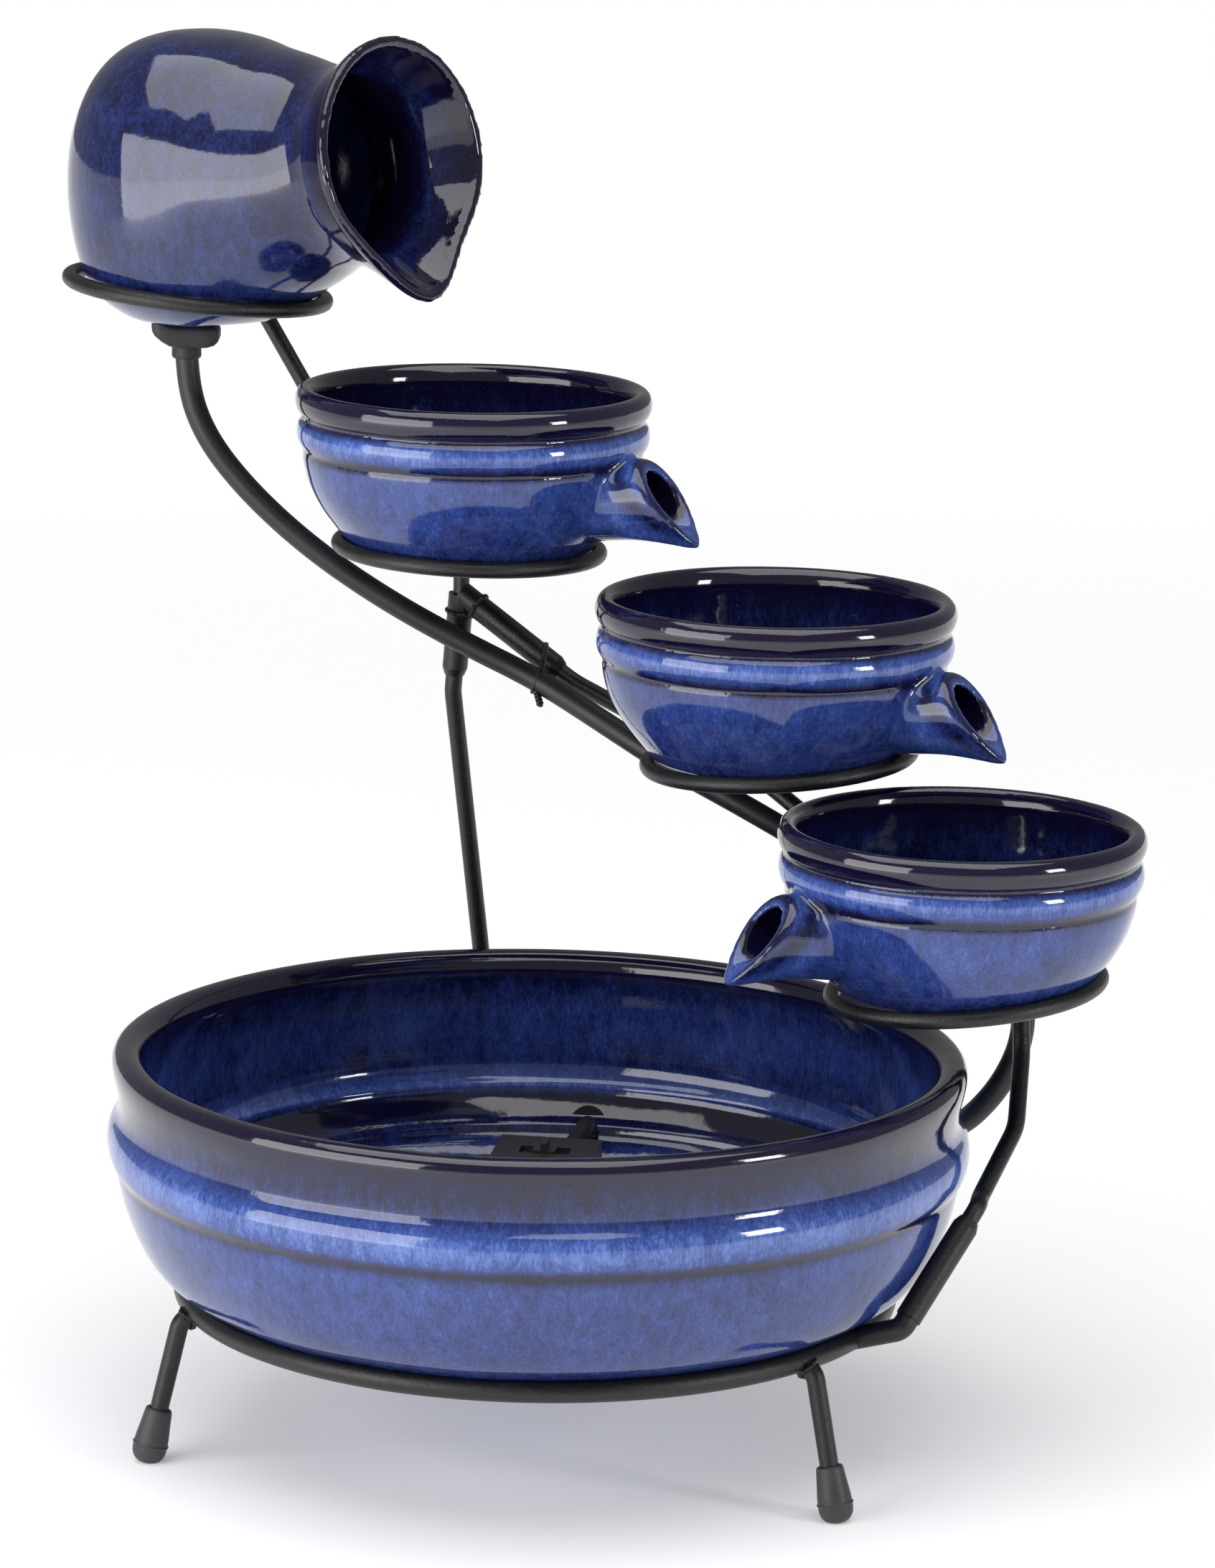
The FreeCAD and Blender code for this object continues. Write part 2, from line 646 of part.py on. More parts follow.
spigot_at = (S.basin_x + S.spigot_x, S.basin_y + S.spigot_y)
jug_base = S.jug_z - S.jug_base_drop
flange_top = jug_base - S.seat_gap
flange_low = flange_top - S.flange_thick
floor_in_jug = jug_base + S.jug_wall


def make_connector():
    """A rubber flange under the jug, a barbed tail through it and a locknut inside."""
    plate = box("flange_plate", (S.flange_long * 2.0, S.flange_wide * 2.0, S.flange_thick),
                (spigot_at[0] - S.flange_long, spigot_at[1] - S.flange_wide, flange_low))
    rounded = doc.addObject("Part::Fillet", "flange_rounded")
    rounded.Base = plate
    doc.recompute()
    upright = [i + 1 for i, e in enumerate(plate.Shape.Edges)
               if abs(e.tangentAt(e.FirstParameter).z) > 0.9]
    rounded.Edges = [(i, 4.0, 4.0) for i in upright]
    bore = cylinder("flange_bore", S.spigot_radius + S.push_gap, S.flange_thick * 2.0,
                    (spigot_at[0], spigot_at[1], flange_low - 1.0))
    keep(cut("flange_cut", rounded, [bore]), "hose_flange")
    stem_low = flange_low - S.tail_length
    stem_high = floor_in_jug + S.locknut_thick + 2.5
    stem = cylinder("tail_stem", S.spigot_radius, stem_high - flange_low + S.tail_collar,
                    (spigot_at[0], spigot_at[1], flange_low - S.tail_collar))
    collar = cylinder("tail_collar", S.hose_radius + 1.2, S.tail_collar,
                      (spigot_at[0], spigot_at[1], flange_low - S.tail_collar))
    barb = cylinder("tail_barb", S.hose_bore - S.push_gap, S.tail_length,
                    (spigot_at[0], spigot_at[1], stem_low))
    way = cylinder("tail_way", S.hose_bore - 1.3, S.tail_length * 4.0,
                   (spigot_at[0], spigot_at[1], stem_low - 1.0))
    keep(cut("tail_cut", fuse("tail_fuse", [stem, collar, barb]), [way]), "hose_tail")
    hexagon = doc.addObject("Part::Prism", "locknut_hexagon")
    hexagon.Polygon = 6
    hexagon.Circumradius = S.locknut_across.value / math.sqrt(3)
    bind(hexagon, "Circumradius", S.locknut_across / root(Size(3.0, "3")))
    hexagon.Height = S.locknut_thick.value
    bind(hexagon, "Height", S.locknut_thick)
    settle(hexagon, (spigot_at[0], spigot_at[1], floor_in_jug + S.seat_gap))
    thread = cylinder("locknut_thread", S.spigot_radius + S.pin_gap, S.locknut_thick * 2.0,
                      (spigot_at[0], spigot_at[1], floor_in_jug))
    keep(cut("locknut_cut", hexagon, [thread]), "spigot_locknut")


make_connector()

# ---- frame rods ----------------------------------------------------------------------

node = here(S.node_x.value, S.node_y.value, S.node_z.value)


def ring_contact(level, bearing, rod, lift=0.0):
    """Centre of a rod that touches a pot ring from below, on a bearing."""
    ring = RINGS[level].Placement
    angle = math.radians(bearing)
    radius = S.pot_ring_radius.value
    spot = ring.multVec(Vector(radius * math.cos(angle), radius * math.sin(angle), 0))
    return spot - Vector(0, 0, S.pot_ring_rod.value + rod + lift)


def make_upper_strut():
    """The rod that carries the jug's ring and passes behind the upper bowl."""
    rod = S.strut_rod.value
    start = ring_contact("jug", 70, rod, -S.pot_ring_rod.value)
    behind = here(-84.0, 187.0, 350.0)
    ring = RINGS["upper"].Placement
    rear = math.radians(95)
    radius = S.pot_ring_radius.value
    spot = ring.multVec(Vector(radius * math.cos(rear), radius * math.sin(rear), 0))
    beside = spot + Vector(0, S.pot_ring_rod.value + rod - 0.6, 0)
    corner = node + (beside - node) * 1.42
    points = [start, behind, corner, node]
    strut = swept(bent_path(points, largest_radii(points, S.strut_bend.value)), rod)
    for level in ("jug", "upper"):
        strut = strut.cut(RINGS[level].Shape)
    return largest_solid(strut)


doc.recompute()
strut_shape = make_upper_strut()

post_top = node + Vector(-2.4, 2.0, -S.sleeve_drop.value)
post_line = (post_top - node).normalize()


def make_sleeve(start, end, inner):
    """A tube with a tapered mouth at its far end; the near end is closed."""
    outer = inner + S.sleeve_wall.value
    line = (end - start).normalize()
    taper = S.sleeve_taper.value
    tube = rod_between(start, end - line * taper, outer)
    mouth = Part.makeCone(outer, inner + 0.5, taper, end - line * taper, line)
    hollow = rod_between(start + line * outer * 1.3, end + line, inner)
    return tube.fuse(mouth).cut(hollow).removeSplitter()


def arm_points():
    """The lower arm's corners, from the slanting sleeve to the side socket."""
    rod = S.arm_rod.value
    under_middle = ring_contact("middle", 112, rod)
    under_lower = ring_contact("lower", 62, rod)
    return [
        here(4.0, 143.0, 274.5), here(32.0, 125.5, 262.0), under_middle,
        here(101.0, 84.0, 231.5), here(137.0, 66.0, 209.0),
        here(168.0, 50.0, 193.0), under_lower,
        here(187.2, 14.0, 152.0), here(184.5, -8.0, 128.5), here(169.5, -36.0, 107.5),
        here(165.1, -47.8, 102.2), here(142.1, -66.4, 68.7),
    ]


inner_sleeve_post = S.post_rod.value + S.push_gap.value
inner_sleeve_arm = S.arm_rod.value + S.push_gap.value
arm = arm_points()
arm_line = (arm[0] - node).normalize()
post_sleeve = make_sleeve(node, post_top, inner_sleeve_post)
arm_sleeve_end = arm[0]
arm_sleeve = make_sleeve(node, arm_sleeve_end, inner_sleeve_arm)
arm_sleeve = largest_solid(arm_sleeve.cut(post_sleeve))
strut_shape = largest_solid(strut_shape.cut(post_sleeve).cut(arm_sleeve))
keep(made("upper_strut_rod", strut_shape), "upper_strut")
keep(made("post_sleeve_tube", largest_solid(post_sleeve)), "post_sleeve")
keep(made("arm_sleeve_tube", arm_sleeve), "arm_sleeve")

# the arm plugs into the slanting sleeve at its top and the side socket at its foot
socket_top = arm[-2]
socket_foot = arm[-1]
socket_line = (socket_foot - socket_top).normalize()
arm_axis = [arm[0] - arm_line * S.plug_depth.value, arm[0] + arm_line * S.plug_lead.value]
arm_axis += arm[1:-2]
arm_axis += [socket_top - socket_line * S.plug_lead.value,
             socket_top + socket_line * S.plug_depth.value]
arm_shape = swept(bent_path(arm_axis, largest_radii(arm_axis, S.arm_bend.value)), S.arm_rod.value)
for level in ("middle", "lower"):
    arm_shape = arm_shape.cut(RINGS[level].Shape)
arm_shape = largest_solid(arm_shape)


def make_socket(top, foot, inner, bearing):
    """A socket tube whose closed lower end runs into the base ring."""
    line = (foot - top).normalize()
    tube = make_sleeve(foot, top, inner)
    angle = math.radians(bearing)
    ring = S.base_ring_radius.value
    landing = here(ring * math.cos(angle), ring * math.sin(angle), S.base_ring_height.value)
    stub_rod = inner + S.sleeve_wall.value - 0.6
    corner = foot + line * 5.0
    path = bent_path([foot - line * 0.1, corner, landing], [5.0])
    stub = swept(path, stub_rod)
    ring_solid = Part.makeTorus(ring, S.base_ring_rod.value, here(0, 0, S.base_ring_height.value))
    return largest_solid(tube.fuse(stub).cut(ring_solid))


keep(made("arm_socket_tube", make_socket(socket_top, socket_foot, inner_sleeve_arm, -27.0)),
     "arm_socket")
keep(made("lower_arm_rod", arm_shape), "lower_arm")

# ---- rear post -----------------------------------------------------------------------

post_behind = here(-25.3, 175.5, 136.0)
post_socket_top = here(-23.0, 176.0, 112.0)
post_socket_foot = here(-14.9, 157.2, 70.4)
post_start = node + post_line * (S.sleeve_drop.value - S.plug_depth.value)
foot_line = (post_socket_foot - post_socket_top).normalize()
post_axis = [post_start, post_top + post_line * S.plug_lead.value, post_behind,
             post_socket_top - foot_line * S.plug_lead.value,
             post_socket_top + foot_line * S.plug_depth.value]
post_radii = largest_radii(post_axis, S.post_bend.value)
post_shape = swept(bent_path(post_axis, post_radii), S.post_rod.value)
keep(made("rear_post_rod", post_shape), "rear_post")
keep(made("post_socket_tube",
          make_socket(post_socket_top, post_socket_foot, inner_sleeve_post, 95.5)), "post_socket")

# ---- hose -----------------------------------------------------------------------------

grommet_turn = Rotation(Vector(0, 0, 1), S.grommet_angle.value)


def on_bearing(reach, across, height):
    spot = grommet_turn.multVec(Vector(reach, across, height))
    return here(spot.x, spot.y, spot.z)


outlet_reach = S.pump_reach.value + S.pump_length.value / 2
tail_foot = flange_low.value - S.tail_collar.value - S.tail_gap.value
HOSE = [
    here(S.spigot_x.value, S.spigot_y.value, tail_foot),
    here(S.spigot_x.value, S.spigot_y.value, tail_foot - 17.0),
    here(-142.0, 157.5, 366.0),
    here(-124.5, 154.0, 344.5),
    here(-99.0, 149.5, 322.5),
    here(-69.0, 145.5, 303.0),
    here(-36.0, 141.0, 286.0),
    here(-5.0, 134.5, 272.5),
    here(19.0, 117.0, 261.0),
    here(47.0, 102.0, 246.0),
    here(79.0, 88.0, 232.0),
    here(112.0, 83.5, 214.0),
    here(144.0, 77.0, 200.5),
    here(172.0, 66.0, 188.5),
    here(189.0, 54.0, 171.5),
    here(190.5, 48.0, 151.0),
    here(183.0, 50.0, 131.0),
    here(171.0, 60.0, 113.0),
    here(162.8, 82.6, 102.0),
    here(152.3, 104.2, 95.0),
    here(138.9, 124.1, 90.0),
    here(124.1, 143.0, 87.0),
    here(112.8, 164.2, 85.0),
    here(100.2, 182.2, 84.3),
    here(81.1, 193.2, 84.0),
    here(59.2, 195.1, 84.0),
    here(38.5, 187.6, 84.0),
    on_bearing(S.hose_loop.value, zero.value, S.grommet_height.value),
    on_bearing(S.hose_loop.value - 42.0, zero.value, S.grommet_height.value),
    on_bearing(S.hose_loop.value - 72.0, 3.5, S.grommet_height.value - 2.5),
    on_bearing(outlet_reach + 35.0, zero.value, S.grommet_height.value),
    on_bearing(outlet_reach + S.rim_thick.value + S.tail_gap.value, zero.value,
               S.grommet_height.value),
]
hose_radii = largest_radii(HOSE)
print("hose bend radii mm:", " ".join("%.0f" % r for r in hose_radii))
hose_path = bent_path(HOSE, hose_radii)
print("hose length mm: %.0f" % hose_path.Length)
hose_outside = swept(hose_path, S.hose_radius.value)
hose_inside = swept(hose_path, S.hose_bore.value)
keep(made("water_hose", largest_solid(hose_outside.cut(hose_inside))), "water_hose")

# ---- grommet in the basin's wall ---------------------------------------------------------

def make_grommet():
    """A rubber sleeve that seals the hose where it goes through the wall."""
    angle = S.grommet_angle
    turn = Rotation(Vector(0, 0, 1), angle.value) * along_z(Vector(1, 0, 0))
    height = S.grommet_height
    reach = S.basin_side_radius - S.basin_wall * 2.2
    sleeve = cylinder("grommet_sleeve", S.grommet_radius - S.push_gap * 2.0, S.basin_wall * 2.1,
                      radial(angle, reach, height), turn)
    way = cylinder("grommet_way", S.hose_radius + S.push_gap, S.basin_wall * 8.0,
                   radial(angle, reach - S.basin_wall * 2.0, height), turn)
    return keep(cut("grommet_cut", sleeve, [way]), "hose_grommet")


make_grommet()

# ---- pump -------------------------------------------------------------------------------

pump_turn = Rotation(Vector(0, 0, 1), S.grommet_angle.value)
pump_along = pump_turn * along_z(Vector(1, 0, 0))
pump_floor = basin_bottom + S.basin_floor
pump_low = pump_floor + S.pump_lift
front = S.pump_reach - S.pump_length / 2.0


def in_basin(along, across, height):
    """A point beside the pump: along its hose, across it, and up."""
    angle = S.grommet_angle
    return (S.basin_x + cosine(angle) * along - sine(angle) * across,
            S.basin_y + sine(angle) * along + cosine(angle) * across, height)


def make_pump():
    wide = S.pump_width
    high = S.pump_height
    block = box("pump_block", (S.pump_length, wide, high),
                in_basin(front, -(wide / 2.0), pump_low), pump_turn)
    back = front + S.pump_length
    spigot = cylinder("pump_spigot", S.hose_bore - S.push_gap, S.outlet_length + 6.0,
                      in_basin(back - 6.0, zero, S.grommet_height), pump_along)
    collar = cylinder("pump_collar", S.hose_radius + 1.3, S.rim_thick + 4.0,
                      in_basin(back - 4.0, zero, S.grommet_height), pump_along)
    body = fuse("pump_solid", [block, spigot, collar])
    axle = pump_low + S.rotor_height
    chamber = cylinder("pump_chamber", S.rotor_radius + S.rotor_gap, S.rotor_length + 11.0,
                       in_basin(front - 1.0, zero, axle), pump_along)
    water_way = cylinder("pump_way", S.hose_bore - 1.3, S.pump_length,
                         in_basin(front + 14.0, zero, S.grommet_height), pump_along)
    slot = box("pump_slot", (S.slider_wide + 0.6, S.slider_wide + S.slider_travel * 2.0 + 0.8,
                             Size(2.3, "2.3")),
               in_basin(front + 22.0 - 0.3, -(S.slider_wide / 2.0 + S.slider_travel + 0.4),
                        pump_low + high - 2.0), pump_turn)
    keep(cut("pump_cut", body, [chamber, water_way, slot]), "pump_body")
    rotor = cylinder("rotor_magnet", S.rotor_radius, S.rotor_length,
                     in_basin(front + 7.0, zero, axle), pump_along)
    vanes = []
    for index in range(3):
        spin = pump_along * Rotation(Vector(0, 0, 1), 60.0 * index)
        offset = spin.multVec(Vector(-S.rotor_radius.value, -S.vane_thick.value / 2, 0))
        at = in_basin(front + 7.0 - S.vane_length, zero, axle)
        moved = tuple(c + shift for c, shift in zip(at, (offset.x, offset.y, offset.z)))
        vanes.append(box("rotor_vane_%d" % index,
                         (S.rotor_radius * 2.0, S.vane_thick, S.vane_length + 1.0), moved, spin))
    hole = cylinder("rotor_hole", S.pin_radius + S.pin_gap, S.rotor_length * 2.0,
                    in_basin(front - 4.0, zero, axle), pump_along)
    keep(cut("rotor_cut", fuse("rotor_solid", [rotor] + vanes), [hole]), "impeller")
    keep(cylinder("rotor_pin", S.pin_radius, S.rotor_length + 12.0,
                  in_basin(front - 2.0, zero, axle), pump_along), "impeller_shaft")
    slider = box("slider_plate", (S.slider_wide, S.slider_wide, Size(2.6, "2.6")),
                 in_basin(front + 22.0, -(S.slider_wide / 2.0), pump_low + high - 1.7), pump_turn)
    knob = box("slider_knob", (S.slider_wide, Size(2.4, "2.4"), Size(3.0, "3")),
               in_basin(front + 22.0, Size(-1.2, "-1.2"), pump_low + high + 0.7), pump_turn)
    keep(fuse("slider_solid", [slider, knob]), "flow_slider")


def make_cover():
    """The slotted intake cover, which slides off the pump's front."""
    gap = S.cover_gap
    wall = S.pump_wall
    wide = S.pump_width + (gap + wall) * 2.0
    high = S.pump_height + (gap + wall) * 2.0
    nose = front - S.cover_depth + S.cover_overlap
    shell = box("cover_shell", (S.cover_depth, wide, high),
                in_basin(nose, -(wide / 2.0), pump_low - gap - wall), pump_turn)
    inside = box("cover_inside", (S.cover_depth, wide - wall * 2.0, high - wall * 2.0),
                 in_basin(nose + wall, -(wide / 2.0) + wall, pump_low - gap), pump_turn)
    slots = []
    for index in range(-2, 3):
        across = S.grille_slot * (2.1 * index) - S.grille_slot / 2.0
        slots.append(box("cover_slot_%d" % (index + 2),
                         (wall * 3.0, S.grille_slot, S.pump_height * 0.62),
                         in_basin(nose - wall, across, pump_low + S.pump_height * 0.19), pump_turn))
    keep(cut("cover_cut", shell, [inside] + slots), "intake_cover")


def make_pump_feet():
    """Four suction cups, each with a short neck up to the pump."""
    cups = []
    inset = S.cup_inset
    for along in (front + inset, front + S.pump_length - inset):
        for side in (-1.0, 1.0):
            across = (S.pump_width / 2.0 - inset) * side
            index = len(cups)
            cups.append(cone("cup_%d" % index, S.cup_radius, S.cup_neck, S.pump_lift * 0.6,
                             in_basin(along, across, pump_floor)))
            cups.append(cylinder("cup_neck_%d" % index, S.cup_neck, S.pump_lift,
                                 in_basin(along, across, pump_floor)))
    keep(fuse("cups_solid", cups), "suction_feet")


def make_gland():
    back = front + S.pump_length
    sleeve = cylinder("gland_sleeve", S.gland_radius, S.gland_length,
                      in_basin(back, S.gland_side, pump_low + S.gland_height), pump_along)
    bore = cylinder("gland_way", S.gland_bore, S.gland_length,
                    in_basin(back + 1.5, S.gland_side, pump_low + S.gland_height), pump_along)
    keep(cut("gland_cut", sleeve, [bore]), "cable_gland")


make_pump()
make_cover()
make_pump_feet()
make_gland()

# ---- tie that holds the hose to the slanting sleeve -----------------------------------

def make_tie():
    """A flat band round the sleeve and the hose, its two ends twisted to knobs."""
    spot = node + (arm_sleeve_end - node) * S.tie_along.value
    line = (arm_sleeve_end - node).normalize()
    width = line * S.tie_wide.value
    plane = Part.Face(Part.Wire([Part.makeCircle(S.hose_radius.value * 6, spot + width * 0.5, line)]))
    near = hose_path.distToShape(plane)[1][0][0]
    across = near - spot
    across = across - line * across.dot(line)
    distance = across.Length
    across.normalize()
    near_radius = inner_sleeve_arm + S.sleeve_wall.value + S.tie_gap.value
    far_radius = S.hose_radius.value * 1.32

    def stadium(thick):
        """A long ring's outline round both, in the plane across the sleeve."""
        side = line.cross(across)
        far = spot + across * distance
        radius = near_radius + thick
        reach = far_radius + thick
        corners = [spot + side * radius, far + side * reach, far - side * reach,
                   spot - side * radius]
        edges = [Part.LineSegment(corners[0], corners[1]).toShape(),
                 Part.Arc(corners[1], far + across * reach, corners[2]).toShape(),
                 Part.LineSegment(corners[2], corners[3]).toShape(),
                 Part.Arc(corners[3], spot - across * radius, corners[0]).toShape()]
        return Part.Face(Part.Wire(edges))

    outer = stadium(S.tie_thick.value).extrude(width)
    band = outer.cut(stadium(0).extrude(width))
    crown = spot - across * (near_radius + S.tie_thick.value) + width * 0.5
    lean = (Vector(0, 0, 1) - line * line.z).normalize()
    for shift in (-1.1, 1.1):
        centre = crown + line * (shift * S.tie_knob.value * 0.9) - across * 0.6 + lean * 0.4
        band = band.fuse(Part.makeSphere(S.tie_knob.value * 0.62, centre))
        band = band.fuse(rod_between(crown - across * 0.2, centre, S.tie_thick.value * 0.6))
    return keep(made("hose_tie_band", largest_solid(band)), "hose_tie")


make_tie()

# ---- export ------------------------------------------------------------------------------

doc.recompute()
for item in doc.Objects:
    if "Invalid" in item.State or "Error" in item.State:
        raise RuntimeError("%s is in state %s" % (item.Label, item.State))
os.makedirs("parts", exist_ok=True)
for item in NODES:
    if item.Shape.isNull() or not item.Shape.isValid():
        raise RuntimeError(item.Label + " has no valid shape")
    item.Shape.exportStep(os.path.join("parts", item.Label + ".step"))
    print(item.Label, len(item.Shape.Solids), round(item.Shape.Volume))
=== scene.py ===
import json
import math

import bmesh
import bpy
import numpy as np
from bpy.props import FloatProperty, FloatVectorProperty, IntProperty, PointerProperty
from mathutils import Matrix, Vector


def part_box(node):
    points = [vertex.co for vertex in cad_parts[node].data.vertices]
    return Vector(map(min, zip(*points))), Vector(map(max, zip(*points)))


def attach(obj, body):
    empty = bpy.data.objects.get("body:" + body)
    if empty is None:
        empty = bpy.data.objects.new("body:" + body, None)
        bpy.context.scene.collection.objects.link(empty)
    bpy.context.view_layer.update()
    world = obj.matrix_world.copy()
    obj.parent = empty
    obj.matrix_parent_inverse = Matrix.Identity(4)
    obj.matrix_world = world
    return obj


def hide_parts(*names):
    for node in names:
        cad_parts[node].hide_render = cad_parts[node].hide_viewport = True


bl_info = {
    "name": "Cascading Bird Bath",
    "version": (1, 0, 0),
    "blender": (4, 5, 0),
    "location": "3D View > Sidebar > Bird Bath",
    "description": "Glazed pots, rod stand, hose and studio for a cascading bird bath",
    "category": "Object",
}

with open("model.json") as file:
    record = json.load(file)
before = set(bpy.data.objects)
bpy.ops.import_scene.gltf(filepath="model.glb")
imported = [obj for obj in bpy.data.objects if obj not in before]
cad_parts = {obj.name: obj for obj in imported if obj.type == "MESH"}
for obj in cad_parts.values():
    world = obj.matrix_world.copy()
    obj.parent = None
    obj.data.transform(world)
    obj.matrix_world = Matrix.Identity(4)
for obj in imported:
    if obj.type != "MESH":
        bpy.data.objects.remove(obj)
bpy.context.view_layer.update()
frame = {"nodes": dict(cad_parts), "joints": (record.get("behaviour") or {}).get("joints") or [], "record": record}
MM = 0.001


# ---- user's sizes and colours ----------------------------------------------------------

class BathSizes(bpy.types.PropertyGroup):
    """Sizes that shape the visible pieces."""

    turns: IntProperty(
        name="Turns", description="Faces round the thrown basin", default=288, min=48)
    voxel: FloatProperty(
        name="Clay grain", description="Grain used where spout and wall are joined",
        default=0.00105, min=0.0005, unit="LENGTH")
    wobble: FloatProperty(
        name="Hand wobble", description="How far a thrown wall strays from round",
        default=0.00035, min=0.0, unit="LENGTH")
    hose_radius: FloatProperty(
        name="Hose radius", description="Outside radius of the water hose",
        default=0.0047, min=0.001, unit="LENGTH")
    weld_bead: FloatProperty(
        name="Weld bead", description="Thickness of a weld bead", default=0.0011,
        min=0.0002, unit="LENGTH")


class BathColours(bpy.types.PropertyGroup):
    """Colours of the glaze and the coating."""

    # the lip colour is also the painted shade in the creases under the beads, the jug's throat and hollow, and the
    # spout's way
    lip_and_shade: FloatVectorProperty(
        name="Lip", description="Glaze burnt dark on lips and edges", subtype="COLOR", size=3,
        default=(0.0050, 0.0030, 0.0190), min=0, max=1)
    deep: FloatVectorProperty(
        name="Deep", description="Deep glaze", subtype="COLOR", size=3,
        default=(0.0055, 0.0075, 0.046), min=0, max=1)
    cobalt: FloatVectorProperty(
        name="Cobalt", description="Main glaze", subtype="COLOR", size=3,
        default=(0.0165, 0.031, 0.142), min=0, max=1)
    bright: FloatVectorProperty(
        name="Bright", description="Thick mottled glaze", subtype="COLOR", size=3,
        default=(0.035, 0.071, 0.28), min=0, max=1)
    sky: FloatVectorProperty(
        name="Sky", description="Milky glaze pooled on the beads", subtype="COLOR", size=3,
        default=(0.12, 0.195, 0.52), min=0, max=1)
    coat: FloatVectorProperty(
        name="Powder coat", description="Coating of the rods", subtype="COLOR", size=3,
        default=(0.0045, 0.0045, 0.0048), min=0, max=1)


class BathStudio(bpy.types.PropertyGroup):
    """Camera and light of the studio."""

    lens: FloatProperty(
        name="Lens", description="Focal length in millimetres", default=180.74, min=10)
    key: FloatProperty(name="Key", description="Left softbox, watts", default=22.0, min=0)
    window: FloatProperty(name="Window", description="Right window, watts", default=9.0, min=0)
    floor: FloatVectorProperty(
        name="Floor", description="Paper floor", subtype="COLOR", size=3,
        default=(0.9, 0.9, 0.905), min=0, max=1)


# ---- places from the frame -------------------------------------------------------------

def centre_of(node):
    """The middle of a node's box at rest."""
    low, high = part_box(node)
    return (Vector(low) + Vector(high)) / 2


AXIS = centre_of("base_ring")
JOINTS = {joint["name"]: joint for joint in frame["joints"]}


def spot(x, y, z):
    """A place given in millimetres from the basin's axis and the floor."""
    return Vector((AXIS.x + x * MM, AXIS.y + y * MM, z * MM))


# ---- mesh helpers ----------------------------------------------------------------------

SPAN_STEPS = 24
# the radius and the height, in millimetres, below which the hand's waves die away
CALM_BELOW = 30.0
MERGE_GAP = 1e-6


def smooth_line(points, samples):
    """Catmull-Rom curve through the points, evenly sampled along its length."""
    p = np.array(points, float)
    p = np.vstack([2 * p[0] - p[1], p, 2 * p[-1] - p[-2]])
    t = np.linspace(0, 1, SPAN_STEPS, endpoint=False)[:, None]
    out = []
    for i in range(1, len(p) - 2):
        a, b, c, d = p[i - 1:i + 3]
        out.append(0.5 * (2 * b + (c - a) * t + (2 * a - 5 * b + 4 * c - d) * t ** 2
                          + (3 * b - a - 3 * c + d) * t ** 3))
    out.append(p[-2][None])
    line = np.vstack(out)
    run = np.concatenate([[0], np.cumsum(np.linalg.norm(np.diff(line, axis=0), axis=1))])
    at = np.linspace(0, run[-1], samples)
    return np.column_stack([np.interp(at, run, line[:, k]) for k in range(line.shape[1])])


def turned_line(points, samples):
    """A smooth (radius, height) line whose two ends lie on the axis."""
    line = smooth_line(points, samples)
    line[0, 0] = line[-1, 0] = 0
    return line


def new_mesh(name, verts, faces):
    """A mesh from its corner points and faces."""
    data = bpy.data.meshes.new(name)
    data.from_pydata([tuple(v) for v in verts], [], [tuple(f) for f in faces])
    data.update()
    return data


def new_object(name, data):
    """An object at the origin that shows the mesh, curve, light or camera."""
    obj = bpy.data.objects.new(name, data)
    bpy.context.scene.collection.objects.link(obj)
    return obj


def shade(data):
    """Smooth shading all over a mesh."""
    data.polygons.foreach_set("use_smooth", np.ones(len(data.polygons), dtype=bool))
    data.update()


def rings_mesh(rings):
    """Points and faces over a list of equal rings, with a fan of faces on each end."""
    count = len(rings[0])
    last = len(rings) - 1
    verts = np.vstack([*rings, rings[0].mean(axis=0), rings[-1].mean(axis=0)])
    faces = []
    for i in range(last):
        for k in range(count):
            n = (k + 1) % count
            faces.append((i * count + k, i * count + n, (i + 1) * count + n, (i + 1) * count + k))
    for k in range(count):
        n = (k + 1) % count
        faces.append((n, k, len(verts) - 2))
        faces.append((last * count + k, last * count + n, len(verts) - 1))
    return verts, faces


def outward(data):
    """Merges doubles and turns every face outward."""
    bm = bmesh.new()
    bm.from_mesh(data)
    bmesh.ops.remove_doubles(bm, verts=bm.verts, dist=MERGE_GAP)
    bmesh.ops.recalc_face_normals(bm, faces=bm.faces)
    bm.to_mesh(data)
    bm.free()
    data.update()


def ringed(name, rings, scale=1.0):
    """A closed mesh over rings of points, faces outward."""
    verts, faces = rings_mesh(rings)
    data = new_mesh(name, verts * scale, faces)
    outward(data)
    return data


def thrown(name, line, turns, wobble, seed):
    """A pot turned from a closed (radius, height) line that starts and ends on the axis. The
    hand's waves die away towards the axis and the foot."""
    r, z = line[1:-1, 0], line[1:-1, 1]
    angle = np.linspace(0, 2 * np.pi, turns, endpoint=False)
    stray = hand(angle, seed) * wobble
    rings = []
    for radius, height in zip(r, z):
        grown = radius + stray * min(1.0, radius / CALM_BELOW)
        lift = np.roll(stray, turns // 5) * 0.5 * min(1.0, max(height, 0) / CALM_BELOW)
        rings.append(np.column_stack([grown * np.cos(angle), grown * np.sin(angle),
                                      height + lift]))
    verts, faces = rings_mesh(rings)
    verts[-2] = (0, 0, line[0, 1])
    verts[-1] = (0, 0, line[-1, 1])
    data = new_mesh(name, verts * MM, faces)
    outward(data)
    return data


def hand(angle, seed):
    """The slow waves of a hand-thrown wall, about one millimetre high for a wobble of one."""
    rng = np.random.default_rng(seed)
    total = np.zeros_like(angle)
    for wave in (2, 3, 5, 8, 13):
        total += rng.normal() / wave ** 0.5 * np.cos(wave * angle + rng.uniform(0, 6.28))
    return total


